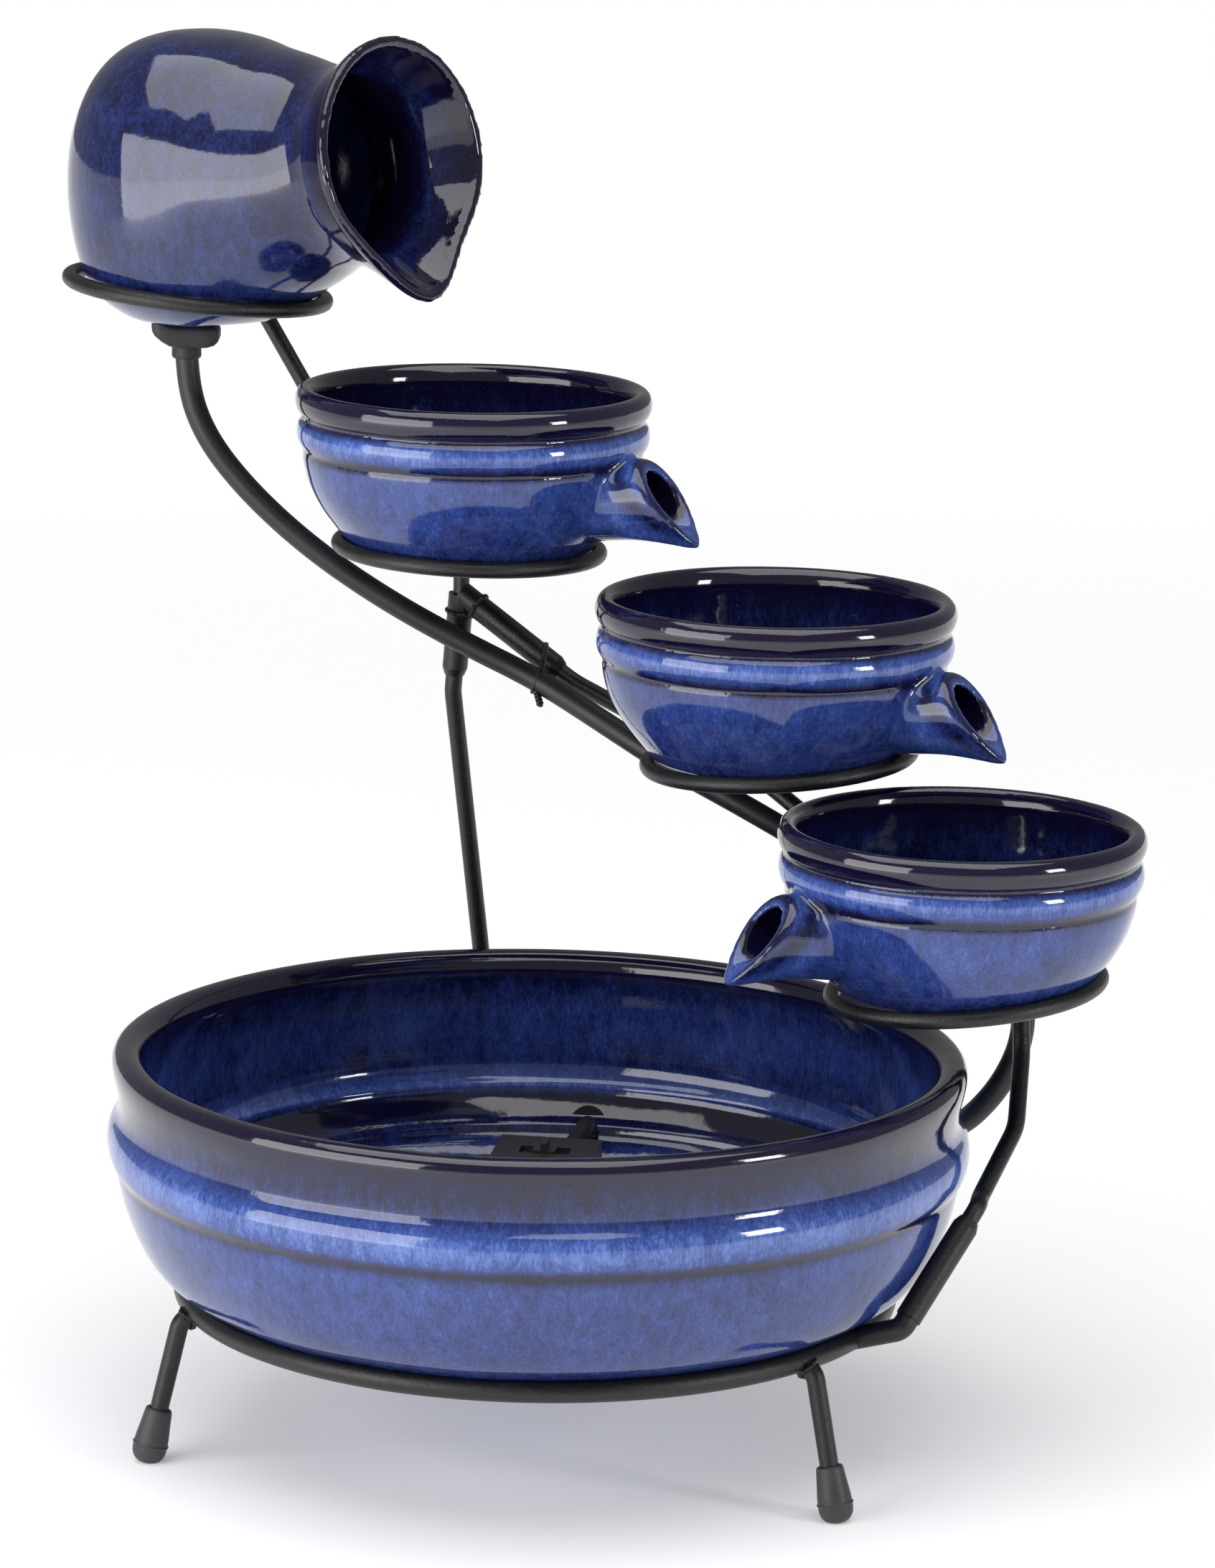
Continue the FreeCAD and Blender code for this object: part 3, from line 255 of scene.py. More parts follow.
def baked(obj):
    """A new plain mesh of what the object shows with its modifiers."""
    bpy.context.view_layer.update()
    seen = obj.evaluated_get(bpy.context.evaluated_depsgraph_get())
    return bpy.data.meshes.new_from_object(seen)


def applied(obj):
    """Gives the object its baked mesh and takes its modifiers away."""
    data = baked(obj)
    obj.modifiers.clear()
    old = obj.data
    obj.data = data
    bpy.data.meshes.remove(old)


def remeshed(obj, size):
    """Makes one skin of even grain over everything in the object."""
    mod = obj.modifiers.new("grain", "REMESH")
    mod.mode = "VOXEL"
    mod.voxel_size = size
    mod.adaptivity = 0
    applied(obj)


def carved(obj, tool):
    """Cuts the tool out of the object and throws the tool away."""
    mod = obj.modifiers.new("carve", "BOOLEAN")
    mod.operation = "DIFFERENCE"
    mod.object = tool
    mod.solver = "EXACT"
    applied(obj)
    bpy.data.objects.remove(tool)


def points_of(data):
    """A mesh's points as rows of x, y and z."""
    flat = np.empty(len(data.vertices) * 3)
    data.vertices.foreach_get("co", flat)
    return flat.reshape(-1, 3)


def set_points(data, points):
    """Moves a mesh's points to these rows of x, y and z."""
    data.vertices.foreach_set("co", points.ravel())
    data.update()


def drawn_in(data, rounds, steps, share):
    """Draws each point to the mean of its neighbours, by each step in turn."""
    edges = np.empty(len(data.edges) * 2, dtype=np.int64)
    data.edges.foreach_get("vertices", edges)
    one, two = edges.reshape(-1, 2).T
    degree = np.bincount(edges, minlength=len(data.vertices))[:, None]
    points = points_of(data)
    for step in tuple(steps) * rounds:
        total = np.zeros_like(points)
        np.add.at(total, one, points[two])
        np.add.at(total, two, points[one])
        points = points + share * step * (total / degree - points)
    set_points(data, points)


def relaxed(data, rounds, weight=None):
    """Evens out a grainy mesh without shrinking it."""
    drawn_in(data, rounds, (0.52, -0.54), 1.0 if weight is None else weight[:, None])


def softened(data, rounds, weight):
    """Rounds over the edges where the weight is not nought."""
    drawn_in(data, rounds, (0.6,), weight[:, None])


def from_line(points, start, end):
    """How far each point is from a straight stretch between two places."""
    start, end = np.array(start), np.array(end)
    run = end - start
    along = np.clip((points - start) @ run / (run @ run), 0, 1)
    return np.linalg.norm(points - (start + along[:, None] * run), axis=1)


def joined(name, meshes):
    """One object that holds several closed meshes."""
    bm = bmesh.new()
    for data in meshes:
        bm.from_mesh(data)
    data = bpy.data.meshes.new(name)
    bm.to_mesh(data)
    bm.free()
    for old in meshes:
        bpy.data.meshes.remove(old)
    return new_object(name, data)


def mark(data, values):
    """Writes the glaze mark, from 0 for burnt or bare to 1 for milky, on a mesh's points; low values
    also carry painted shade in creases, the jug's throat and hollow, and the spout's way.
    """
    layer = data.attributes.get("glaze") or data.attributes.new("glaze", "FLOAT", "POINT")
    layer.data.foreach_set("value", np.asarray(values, dtype=np.float32))


def finished(obj, body, slot, material, *nodes):
    """Gives a piece its finish, its body and the frame nodes it stands for."""
    obj.data.materials.clear()
    obj.data.materials.append(material)
    if obj.type == "MESH":
        shade(obj.data)
    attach(obj, body)
    if nodes:
        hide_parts(*nodes)
    return obj


def staged(values, table):
    """Piecewise-linear reading of a table of (place, value) pairs."""
    places, marks = zip(*table)
    return np.interp(values, places, marks)


# ---- node helpers ----------------------------------------------------------------------

class Nodes:
    """Short hand for building a material's node tree."""

    def __init__(self, name):
        old = bpy.data.materials.get(name)
        if old:
            bpy.data.materials.remove(old)
        self.material = bpy.data.materials.new(name)
        self.material.use_nodes = True
        self.tree = self.material.node_tree
        self.shader = self.tree.nodes["Principled BSDF"]
        self.coords = self.tree.nodes.new("ShaderNodeTexCoord").outputs["Object"]

    def add(self, kind, **settings):
        """A new node with these settings."""
        node = self.tree.nodes.new(kind)
        for key, value in settings.items():
            setattr(node, key, value)
        return node

    def link(self, source, target):
        self.tree.links.new(source, target)

    def feed(self, socket, value):
        """Links an output to a socket, or sets a plain value on it."""
        if hasattr(value, "is_output"):
            self.link(value, socket)
        else:
            socket.default_value = value

    def stretched(self, scale=(1, 1, 1), offset=(0, 0, 0)):
        """The piece's own coordinates, scaled and shifted."""
        node = self.add("ShaderNodeMapping")
        node.inputs["Scale"].default_value = scale
        node.inputs["Location"].default_value = offset
        self.link(self.coords, node.inputs["Vector"])
        return node.outputs["Vector"]

    def noise(self, vector, scale, detail=3.0, rough=0.5, warp=0.0):
        """A cloudy pattern about 0.5."""
        node = self.add("ShaderNodeTexNoise")
        self.link(vector, node.inputs["Vector"])
        node.inputs["Scale"].default_value = scale
        node.inputs["Detail"].default_value = detail
        node.inputs["Roughness"].default_value = rough
        node.inputs["Distortion"].default_value = warp
        return node.outputs["Fac"]

    def cells(self, vector, scale):
        """The distance from scattered points."""
        node = self.add("ShaderNodeTexVoronoi")
        self.link(vector, node.inputs["Vector"])
        node.inputs["Scale"].default_value = scale
        return node.outputs["Distance"]

    def math(self, operation, a, b=0.0, clamp=False):
        node = self.add("ShaderNodeMath", operation=operation, use_clamp=clamp)
        self.feed(node.inputs[0], a)
        self.feed(node.inputs[1], b)
        return node.outputs[0]

    def spread(self, value, low, high, out_low=0.0, out_high=1.0):
        """Maps low to out_low and high to out_high."""
        node = self.add("ShaderNodeMapRange")
        self.feed(node.inputs["Value"], value)
        for key, number in (("From Min", low), ("From Max", high), ("To Min", out_low),
                            ("To Max", out_high)):
            node.inputs[key].default_value = number
        return node.outputs["Result"]

    def attribute(self, name):
        """A value kept on the piece's points."""
        return self.add("ShaderNodeAttribute", attribute_name=name).outputs["Fac"]

    def ramp(self, value, stops):
        """A colour band from (place, colour) stops."""
        node = self.add("ShaderNodeValToRGB")
        elements = node.color_ramp.elements
        while len(elements) < len(stops):
            elements.new(0.5)
        for element, (place, colour) in zip(elements, stops):
            element.position = place
            element.color = (*colour, 1.0)
        self.link(value, node.inputs["Fac"])
        return node.outputs["Color"]

    def mix(self, factor, a, b, blend="MIX"):
        node = self.add("ShaderNodeMix", data_type="RGBA", blend_type=blend)
        self.feed(node.inputs["Factor"], factor)
        for key, value in ((6, a), (7, b)):
            if hasattr(value, "is_output"):
                self.link(value, node.inputs[key])
            else:
                node.inputs[key].default_value = (*value, 1.0)
        return node.outputs[2]

    def bump(self, height, strength, distance, after=None):
        """A fine relief, laid over an earlier one if it is given."""
        node = self.add("ShaderNodeBump")
        node.inputs["Strength"].default_value = strength
        node.inputs["Distance"].default_value = distance
        self.link(height, node.inputs["Height"])
        if after is not None:
            self.link(after, node.inputs["Normal"])
        return node.outputs["Normal"]

    def finish(self, colour, roughness, normal=None, **constants):
        """Sets the shader; a constant's name has underscores for the socket's spaces."""
        self.feed(self.shader.inputs["Base Color"],
                  colour if hasattr(colour, "is_output") else (*colour, 1.0))
        self.feed(self.shader.inputs["Roughness"], roughness)
        if normal is not None:
            self.link(normal, self.shader.inputs["Normal"])
        for key, value in constants.items():
            self.shader.inputs[key.replace("_", " ")].default_value = value
        return self.material


# ---- finishes --------------------------------------------------------------------------

SPECK_COLOUR = (0.34, 0.42, 0.75)
COAT_DUST = (0.045, 0.045, 0.047)
# pale colour of the painted glints on the powder coat
PAINTED_GLINT_FLECK = (0.16, 0.16, 0.165)
RUN_STRETCH = (1, 1, 0.42)


def glaze_material(name, lightness, mottle):
    """Reactive glaze: the pot's glaze mark says how thick it lies, from burnt lip to milky pool,
    and its low values in creases, the jug's throat and hollow and the spout's way are painted
    shade; fine runs and specks break it up."""
    colours = bpy.context.scene.bath_colours
    n = Nodes(name)
    runs = n.stretched(RUN_STRETCH)
    plain = n.stretched()
    broad = n.noise(plain, 26, 3, 0.55, 0.6)
    streak = n.noise(runs, 210, 4, 0.62, 0.4)
    fine = n.noise(runs, 900, 3, 0.7)
    speck = n.cells(plain, 620)
    # the glaze mark: thickness of the glaze, with painted shade where it is low in creases and hollows
    thickness_and_shade = n.attribute("glaze")

    def swing(pattern, amount):
        return n.math("MULTIPLY", n.math("SUBTRACT", pattern, 0.5), amount * mottle)

    shift = n.math("ADD", swing(broad, 0.34), swing(streak, 0.52))
    shift = n.math("ADD", shift, swing(fine, 0.62))
    open_wall = n.spread(thickness_and_shade, 0.02, 0.34, 0.22, 1.0)
    level = n.math("ADD", n.math("MULTIPLY", shift, open_wall),
                   n.math("ADD", thickness_and_shade, lightness), True)
    colour = n.ramp(level, [(0.0, colours.lip_and_shade), (0.13, colours.lip_and_shade), (0.27, colours.deep),
                            (0.47, colours.cobalt), (0.70, colours.bright),
                            (0.95, colours.sky)])
    dots = n.spread(speck, 0.05, 0.11, 0.5, 0.0)
    dots = n.math("MULTIPLY", dots, n.spread(n.noise(plain, 160, 2), 0.56, 0.66))
    colour = n.mix(dots, colour, SPECK_COLOUR)
    pits = n.spread(n.cells(n.stretched((1, 1, 1), (0.3, 0.1, 0.2)), 210), 0.02, 0.06, 1.0, 0.0)
    pits = n.math("MULTIPLY", pits, n.spread(n.noise(plain, 60, 1), 0.60, 0.66))
    colour = n.mix(n.math("MULTIPLY", pits, 0.6), colour, colours.lip_and_shade)
    flow = n.bump(n.noise(runs, 55, 2, 0.5), 0.16, 0.0018)
    skin = n.bump(n.noise(plain, 420, 2, 0.5), 0.045, 0.0006, flow)
    skin = n.bump(pits, -0.25, 0.0004, skin)
    return n.finish(colour, n.spread(broad, 0.3, 0.7, 0.05, 0.10), skin,
                    Specular_IOR_Level=0.58, Coat_Weight=0.25, Coat_Roughness=0.03)


def powder_coat():
    """Black powder coat: a fine orange-peel grain with dust, and pale flecks that are painted glints of its
    flakes.
    """
    colours = bpy.context.scene.bath_colours
    n = Nodes("black_powder_coat")
    plain = n.stretched()
    grain = n.noise(plain, 1500, 3, 0.65)
    glint_fleck = n.cells(plain, 1300)
    soft = n.noise(plain, 90, 3, 0.5)
    colour = n.mix(n.spread(grain, 0.56, 0.78, 0.0, 0.55), tuple(colours.coat), COAT_DUST)
    # painted glints: pale flecks where the coat's flakes would catch the light
    colour = n.mix(n.spread(glint_fleck, 0.02, 0.10, 0.5, 0.0), colour, PAINTED_GLINT_FLECK)
    normal = n.bump(grain, 0.38, 0.0005, n.bump(soft, 0.2, 0.0008))
    rough = n.math("ADD", n.spread(grain, 0.3, 0.7, 0.24, 0.46),
                   n.spread(soft, 0.3, 0.7, -0.03, 0.05))
    return n.finish(colour, rough, normal, Specular_IOR_Level=0.5)


def rubber(name, colour, rough, grain_size=1100):
    """Matt rubber with paler worn patches."""
    n = Nodes(name)
    plain = n.stretched()
    grain = n.noise(plain, grain_size, 3, 0.6)
    soft = n.noise(plain, 45, 3, 0.55)
    pale = tuple(c * 2.1 + 0.004 for c in colour)
    tint = n.mix(n.spread(soft, 0.38, 0.72, 0.0, 0.5), colour, pale)
    tint = n.mix(n.spread(grain, 0.6, 0.8, 0.0, 0.35), tint, tuple(c * 2.6 for c in colour))
    normal = n.bump(grain, 0.14, 0.0004)
    return n.finish(tint, n.spread(soft, 0.3, 0.7, rough - 0.05, rough + 0.06), normal)


def moulded(name, colour, rough):
    """Moulded plastic with a faint spark grain."""
    n = Nodes(name)
    plain = n.stretched()
    grain = n.noise(plain, 1900, 2, 0.5)
    soft = n.noise(plain, 70, 2, 0.5)
    tint = n.mix(n.spread(soft, 0.35, 0.7, 0.0, 0.4), colour,
                 tuple(min(1.0, c * 1.5 + 0.003) for c in colour))
    normal = n.bump(grain, 0.10, 0.0003)
    return n.finish(tint, n.spread(soft, 0.3, 0.7, rough - 0.03, rough + 0.04), normal)


def ground_steel():
    """Ground steel with fine upright lines."""
    n = Nodes("ground_steel")
    along = n.stretched((900, 900, 90))
    lines = n.noise(along, 1.0, 4, 0.6)
    normal = n.bump(lines, 0.08, 0.0002)
    return n.finish((0.55, 0.55, 0.57), n.spread(lines, 0.3, 0.7, 0.18, 0.32), normal,
                    Metallic=1.0)


# the finishes by name; the names of the frame's own slots among them
MATERIALS = {}


class BATH_OT_finishes(bpy.types.Operator):
    """Make the glaze, powder coat, rubber and plastic"""

    bl_idname = "bath.finishes"
    bl_label = "Finishes"

    def execute(self, context):
        MATERIALS["glaze"] = glaze_material("cobalt_glaze", 0.0, 1.0)
        MATERIALS["jug_glaze"] = glaze_material("navy_glaze", -0.17, 0.85)
        MATERIALS["frame"] = powder_coat()
        MATERIALS["hose"] = rubber("hose_rubber", (0.010, 0.010, 0.0105), 0.46)
        MATERIALS["cap_rubber"] = rubber("cap_rubber", (0.030, 0.031, 0.033), 0.5, 800)
        MATERIALS["black_rubber"] = rubber("flange_rubber", (0.011, 0.011, 0.012), 0.55)
        MATERIALS["plastic"] = moulded("black_plastic", (0.013, 0.013, 0.014), 0.38)
        # the frame's slot of the impeller, which is white
        MATERIALS["plastic_blue"] = moulded("white_plastic", (0.62, 0.63, 0.61), 0.35)
        MATERIALS["steel"] = ground_steel()
        for part in frame["record"]["subparts"]:
            data = frame["nodes"][part["node"]].data
            data.materials.clear()
            data.materials.append(MATERIALS[part["material_slot"]])
        return {"FINISHED"}


# ---- basin -----------------------------------------------------------------------------

# radius and height of the basin's wall in millimetres, from the foot up and back down inside
BASIN_OUTSIDE = [
    (0, 0), (40, 0), (80, 0), (112, 0.0), (122, 0.2), (130, 2.4), (138.5, 6.4), (146.3, 11.6),
    (152.3, 18.6), (157.0, 27.6), (160.6, 37.6), (162.9, 47.2), (163.4, 50.8), (164.3, 52.4),
    (165.9, 55.2), (166.8, 59.5), (166.7, 63.6), (165.6, 67.3), (163.6, 69.8), (162.6, 72.6),
    (162.5, 76.0), (163.2, 81.0), (164.4, 86.0), (165.1, 90.4), (164.7, 93.6), (162.9, 95.8),
    (159.6, 96.6),
]
BASIN_INSIDE = [
    (156.2, 95.8), (153.6, 93.0), (152.6, 89.0), (152.9, 82), (154.0, 72), (154.3, 60),
    (153.5, 50), (151.6, 44.5), (149.6, 42.0), (149.3, 39.8), (147.8, 36.5), (143.6, 30.5),
    (140.2, 27.2), (139.7, 25.2), (136, 20.8), (126, 14.8), (112, 11.4), (84, 10.2), (40, 10),
    (0, 10),
]


BASIN_ROWS = 300
BASIN_SEED = 11


def basin_glaze(points, bottom):
    """Glaze mark over the basin: dark lip, milky bead, painted shade in the crease under the bead, cobalt wall."""
    reach = np.hypot(points[:, 0] - AXIS.x, points[:, 1] - AXIS.y) / MM
    height = (points[:, 2] - bottom) / MM
    # outside, the dip near 51.6 mm, in the crease under the bead, is painted shade
    outside = staged(height, [
        (0, 0.44), (20, 0.52), (38, 0.56), (47, 0.60), (50.0, 0.46), (51.6, 0.14), (53.4, 0.22),
        (56, 0.70), (61, 0.84), (65, 0.78), (69, 0.64), (72, 0.46), (76, 0.33), (82, 0.25),
        (89, 0.17), (93, 0.09), (97, 0.07)])
    inside = staged(height, [
        (10, 0.60), (14, 0.62), (20, 0.50), (24, 0.30), (26.5, 0.34), (29, 0.30), (33, 0.10),
        (38, 0.18), (42, 0.78), (45, 0.62), (52, 0.40), (62, 0.52), (74, 0.50), (82, 0.34),
        (90, 0.16), (95, 0.07)])
    wall = np.clip((reach - staged(height, [(0, 60), (12, 138), (22, 146), (48, 158.5),
                                            (95, 159.2)])) / 1.5, -1, 1) * 0.5 + 0.5
    return inside * (1 - wall) + outside * wall


class BATH_OT_basin(bpy.types.Operator):
    """Throw the basin"""

    bl_idname = "bath.basin"
    bl_label = "Basin"

    def execute(self, context):
        sizes = context.scene.bath_sizes
        line = turned_line(BASIN_OUTSIDE + BASIN_INSIDE, BASIN_ROWS)
        data = thrown("basin_pot", line, sizes.turns, sizes.wobble / MM * 1.2, BASIN_SEED)
        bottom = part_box("basin")[0][2]
        data.transform(Matrix.Translation((AXIS.x, AXIS.y, bottom)))
        mark(data, basin_glaze(points_of(data), bottom))
        finished(new_object("basin_pot", data), "stand", "glaze", MATERIALS["glaze"], "basin")
        return {"FINISHED"}


# ---- bowls -----------------------------------------------------------------------------

# radius and height of a bowl's wall in millimetres, from the foot up and back down inside
BOWL_OUTSIDE = [
    (0, 0), (30, 0), (43.5, 0.1), (47.4, 0.7), (50.6, 4.6), (55.2, 10.2), (60.2, 17), (64.2, 24.5),
    (66.6, 32), (67.4, 37), (67.1, 39.2), (67.9, 40.6), (69.4, 43.4), (70.0, 46.8), (69.4, 50.0),
    (68.0, 51.9), (67.9, 53.2), (69.4, 54.8), (70.5, 57.6), (70.5, 60.8), (69.2, 63.4),
    (66.8, 64.5),
]
BOWL_INSIDE = [
    (64.4, 63.7), (62.7, 61.2), (62.0, 57.5), (61.9, 50), (61.5, 40), (59.6, 30), (55.4, 20.5),
    (47.6, 11.8), (36, 7.6), (20, 6.2), (0, 6),
]


# A ring across the spout: how far out and how high its top is, the same for its lowest
# point, its half width, and how far its lower half is drawn in to a beak.
SPOUT_ROOT = dict(reach_top=50, top=44.8, reach_low=46, low=7.0, half_width=23.5, narrow=0.15)
SPOUT_MOUTH = dict(reach_top=75.8, top=42.6, reach_low=101.2, low=9.4, half_width=15.4,
                   narrow=0.85)
WAY_ROOT = dict(reach_top=46, top=36.0, reach_low=44, low=20.5, half_width=9.5, narrow=0.1)
WAY_MOUTH = dict(reach_top=79.4, top=37.9, reach_low=96.0, low=16.0, half_width=10.2,
                 narrow=0.7)
# the middle of the spout, from the wall to its tip, in metres
SPOUT_LINE = ((0.050, 0, 0.026), (0.090, 0, 0.022))
# the middle of the way through the spout, in metres
WAY_LINE = ((0.056, 0, 0.0285), (0.084, 0, 0.0268))
# how far the cutter of that way goes on past the spout's mouth, in millimetres
PAST_SPOUT = 14.0
BOWL_ROWS = 230
BOWL_TURNS = 216


def spout_ring(ring, count):
    """The points of a ring across the spout, in millimetres."""
    angle = np.linspace(0, 2 * np.pi, count, endpoint=False)
    share = (1 + np.cos(angle)) / 2
    pinch = 1 - ring["narrow"] * 0.58 * (1 - share) ** 1.5
    return np.column_stack([
        ring["reach_low"] + (ring["reach_top"] - ring["reach_low"]) * share,
        np.sin(angle) * ring["half_width"] * pinch,
        ring["low"] + (ring["top"] - ring["low"]) * share])


def spout_solid(name, first, last, count, steps, waist, overrun):
    """A spout's solid between two rings, with a drawn-in waist. An overrun makes it a cutter
    that goes on past its last ring and widens."""
    a, b = spout_ring(first, count), spout_ring(last, count)
    rings = []
    for t in np.linspace(0, 1, steps + 1):
        eased = t ** 0.8
        ring = a * (1 - eased) + b * eased
        mid = ring.mean(axis=0)
        rings.append(mid + (ring - mid) * (1 - waist * math.sin(math.pi * min(1.0, t * 1.15))))
    if overrun:
        mid = b.mean(axis=0)
        push = mid - a.mean(axis=0)
        rings.append(mid + (b - mid) * 1.18 + push / np.linalg.norm(push) * overrun)
    return ringed(name, rings, MM)


def bowl_glaze(points, away, rim):
    """Glaze mark over a bowl: its height, with the beak's flanks, the way through the spout
    (away is the distance from its middle) painted dark as shade, and the mouth's edge (rim) laid
    over it."""
    reach = np.hypot(points[:, 0], points[:, 1]) / MM
    height = points[:, 2] / MM
    # outside, the dip near 39.8 mm, in the crease under the bead, is painted shade
    outside = staged(height, [
        (0, 0.42), (8, 0.48), (20, 0.56), (32, 0.60), (36.4, 0.54), (38.4, 0.22), (39.8, 0.12),
        (41.2, 0.34), (43.5, 0.72), (47, 0.82), (50, 0.68), (52.0, 0.22), (54, 0.11), (65, 0.06)])
    inside = staged(height, [(6, 0.40), (12, 0.44), (30, 0.36), (46, 0.30), (56, 0.16),
                             (62, 0.06)])
    split = staged(height, [(0, 0), (6, 20), (10, 52), (20, 61), (40, 65.5), (66, 66.6)])
    wall = np.clip((reach - split) / 1.2, -1, 1) * 0.5 + 0.5
    value = inside * (1 - wall) + outside * wall
    on_beak = np.clip((reach - 68.5) / 3, 0, 1) * (height < 45)
    flank = np.exp(-((height - (37.5 - 0.95 * (reach - 68))) / 5.5) ** 2)
    flank = flank * np.clip((np.abs(points[:, 1]) / MM - 5) / 6, 0, 1)
    value = value * (1 - on_beak) + (0.66 - 0.40 * flank) * on_beak
    # painted shade: the way through the spout is painted dark
    value = np.where((away < 10.5) & (reach > 60), 0.10, value)
    edge = np.clip(1 - rim / 3.6, 0, 1) ** 0.8 * np.clip((height - 8) / 8, 0.25, 1)
    return value * (1 - edge) + 0.10 * edge


def spouted_bowl(grain):
    """One spouted bowl about its own axis, spout along +X. The plain wall is drawn back onto
    its turned line, and the spout and its root stay soft."""
    line = turned_line(BOWL_OUTSIDE + BOWL_INSIDE, BOWL_ROWS)
    pot = thrown("bowl_clay", line, BOWL_TURNS, 0, 1)
    beak = spout_solid("beak_clay", SPOUT_ROOT, SPOUT_MOUTH, 64, 18, 0.11, 0)
    obj = joined("bowl_clay", [pot, beak])
    remeshed(obj, grain)
    way = spout_solid("beak_way", WAY_ROOT, WAY_MOUTH, 48, 10, 0.0, PAST_SPOUT)
    carved(obj, new_object("beak_way", way))
    remeshed(obj, grain)
    data = obj.data
    points = points_of(data)
    reach = np.hypot(points[:, 0], points[:, 1])
    plain = np.clip((from_line(points, *SPOUT_LINE) - 0.0225) / 0.008, 0, 1)
    plain = np.where(points[:, 2] > 0.0445, 1.0, plain)
    plain = plain * plain * (3 - 2 * plain)
    relaxed(data, 10)
    points = points_of(data)
    snapped = on_profile(points, line * MM)
    set_points(data, points * (1 - plain[:, None]) + snapped * plain[:, None])
    softened(data, 7, (1 - plain) * np.clip((reach - 0.066) / 0.006, 0, 1))
    relaxed(data, 6, 1 - plain)
    return obj


PROFILE_POINTS = 1600
PROFILE_STEP = 4
CHUNK = 4000


def on_profile(points, line):
    """The nearest place on a turned surface's (radius, height) line: found on every few
    points of the line first, then along the stretch either side."""
    reach = np.hypot(points[:, 0], points[:, 1])
    flat = np.column_stack([reach, points[:, 2]])
    dense = smooth_line(line, PROFILE_POINTS)
    found = np.zeros_like(flat)
    for first in range(0, len(flat), CHUNK):
        part = flat[first:first + CHUNK]
        gap = ((part[:, None, :] - dense[None, ::PROFILE_STEP, :]) ** 2).sum(axis=2)
        pick = np.clip(gap.argmin(axis=1) * PROFILE_STEP, PROFILE_STEP,
                       len(dense) - PROFILE_STEP - 1)
        a, b = dense[pick - PROFILE_STEP], dense[pick + PROFILE_STEP]
        run = b - a
        t = np.clip(((part - a) * run).sum(axis=1) / np.maximum((run * run).sum(axis=1), 1e-12),
                    0, 1)
        nearest = (pick - PROFILE_STEP + np.round(t * 2 * PROFILE_STEP)).astype(int)
        found[first:first + CHUNK] = dense[np.clip(nearest, 0, len(dense) - 1)]
    safe = np.maximum(reach, 1e-9)
    return np.column_stack([points[:, 0] / safe * found[:, 0], points[:, 1] / safe * found[:, 0],
                            found[:, 1]])


def from_ring(points, ring):
    """How far each point is from the nearest point of a ring."""
    gaps = []
    for first in range(0, len(points), CHUNK):
        part = points[first:first + CHUNK]
        gaps.append(np.sqrt(((part[:, None] - ring[None]) ** 2).sum(axis=2)).min(axis=1))
    return np.concatenate(gaps)


# pot, bearing of its spout in degrees, and the seed of its hand-made waves
BOWLS = (("upper", -26.0, 21), ("middle", -28.0, 22), ("lower", 206.0, 23))


class BATH_OT_bowls(bpy.types.Operator):
    """Throw the three spouted bowls and set them on their rings"""

    bl_idname = "bath.bowls"
    bl_label = "Bowls"

    def execute(self, context):
        sizes = context.scene.bath_sizes
        clay = spouted_bowl(sizes.voxel)
        points = points_of(clay.data)
        rim = from_ring(points, spout_ring(SPOUT_MOUTH, 96) * MM) / MM
        away = from_line(points, *WAY_LINE) / MM
        value = bowl_glaze(points, away, rim)
        angle = np.arctan2(points[:, 1], points[:, 0])
        share = np.clip(points[:, 2] / (CALM_BELOW * MM), 0, 1)
        reach = np.maximum(np.hypot(points[:, 0], points[:, 1]), 1e-6)
        for level, aim, seed in BOWLS:
            data = clay.data.copy()
            stray = hand(angle, seed) * sizes.wobble * 0.7
            moved = points.copy()
            moved[:, :2] *= (1 + (stray * share / reach))[:, None]
            set_points(data, moved)
            place = Vector(JOINTS[level + "_bowl_turn"]["pos_m"])
            data.transform(Matrix.Translation(place) @ Matrix.Rotation(math.radians(aim), 4, "Z"))
            mark(data, value)
            finished(new_object(level + "_bowl_pot", data), level + "_pot", "glaze",
                     MATERIALS["glaze"], level + "_bowl")
        bpy.data.objects.remove(clay)
        return {"FINISHED"}


# ---- jug -------------------------------------------------------------------------------

JUG_PLACE = (-141.0, 165.0, 467.0)
# radius and height of the belly in millimetres, from its middle
JUG_OUTSIDE = [
    (0, -54.5), (24, -54.5), (31.5, -53.8), (40, -49.0), (46.0, -43.6), (50.8, -36.0),
    (55.1, -20.0), (57.0, -3.0), (56.2, 14.0), (52.6, 29.0), (45.6, 43.0), (34.5, 53.8),
    (19, 60.0), (0, 61.8),
]
JUG_ROWS = 130
JUG_TURNS = 200
HOLLOW_TURNS = 160
# how far the hollow's cutter goes on past the mouth, in millimetres
PAST_MOUTH = 10.0
# the jug's grain, as a share of the bowls' grain
JUG_GRAIN = 1.21
# bearing of the neck and its pitch, in degrees; a negative pitch raises the mouth
NECK_TURN = -36.0
NECK_PITCH = -10.5
NECK_ROWS = 34
JUG_WALL = 5.3
HOLLOW_CENTRE = (0, 2.0)
# what lies nearer to the belly's middle than this is its inside
HOLLOW_REACH = 52.6
# reach along the neck, radius, and how much the ring is drawn to the pouring tip
NECK_RINGS = [(6, 50.5, 0), (26, 52.4, 0), (42, 50.6, 0), (54, 46.6, 0), (64, 42.0, 0.02),
              (73, 39.4, 0.06), (81, 40.4, 0.2), (88, 43.9, 0.5), (94, 47.6, 0.8),
              (98.5, 50.6, 0.97), (101.5, 51.4, 1.0)]


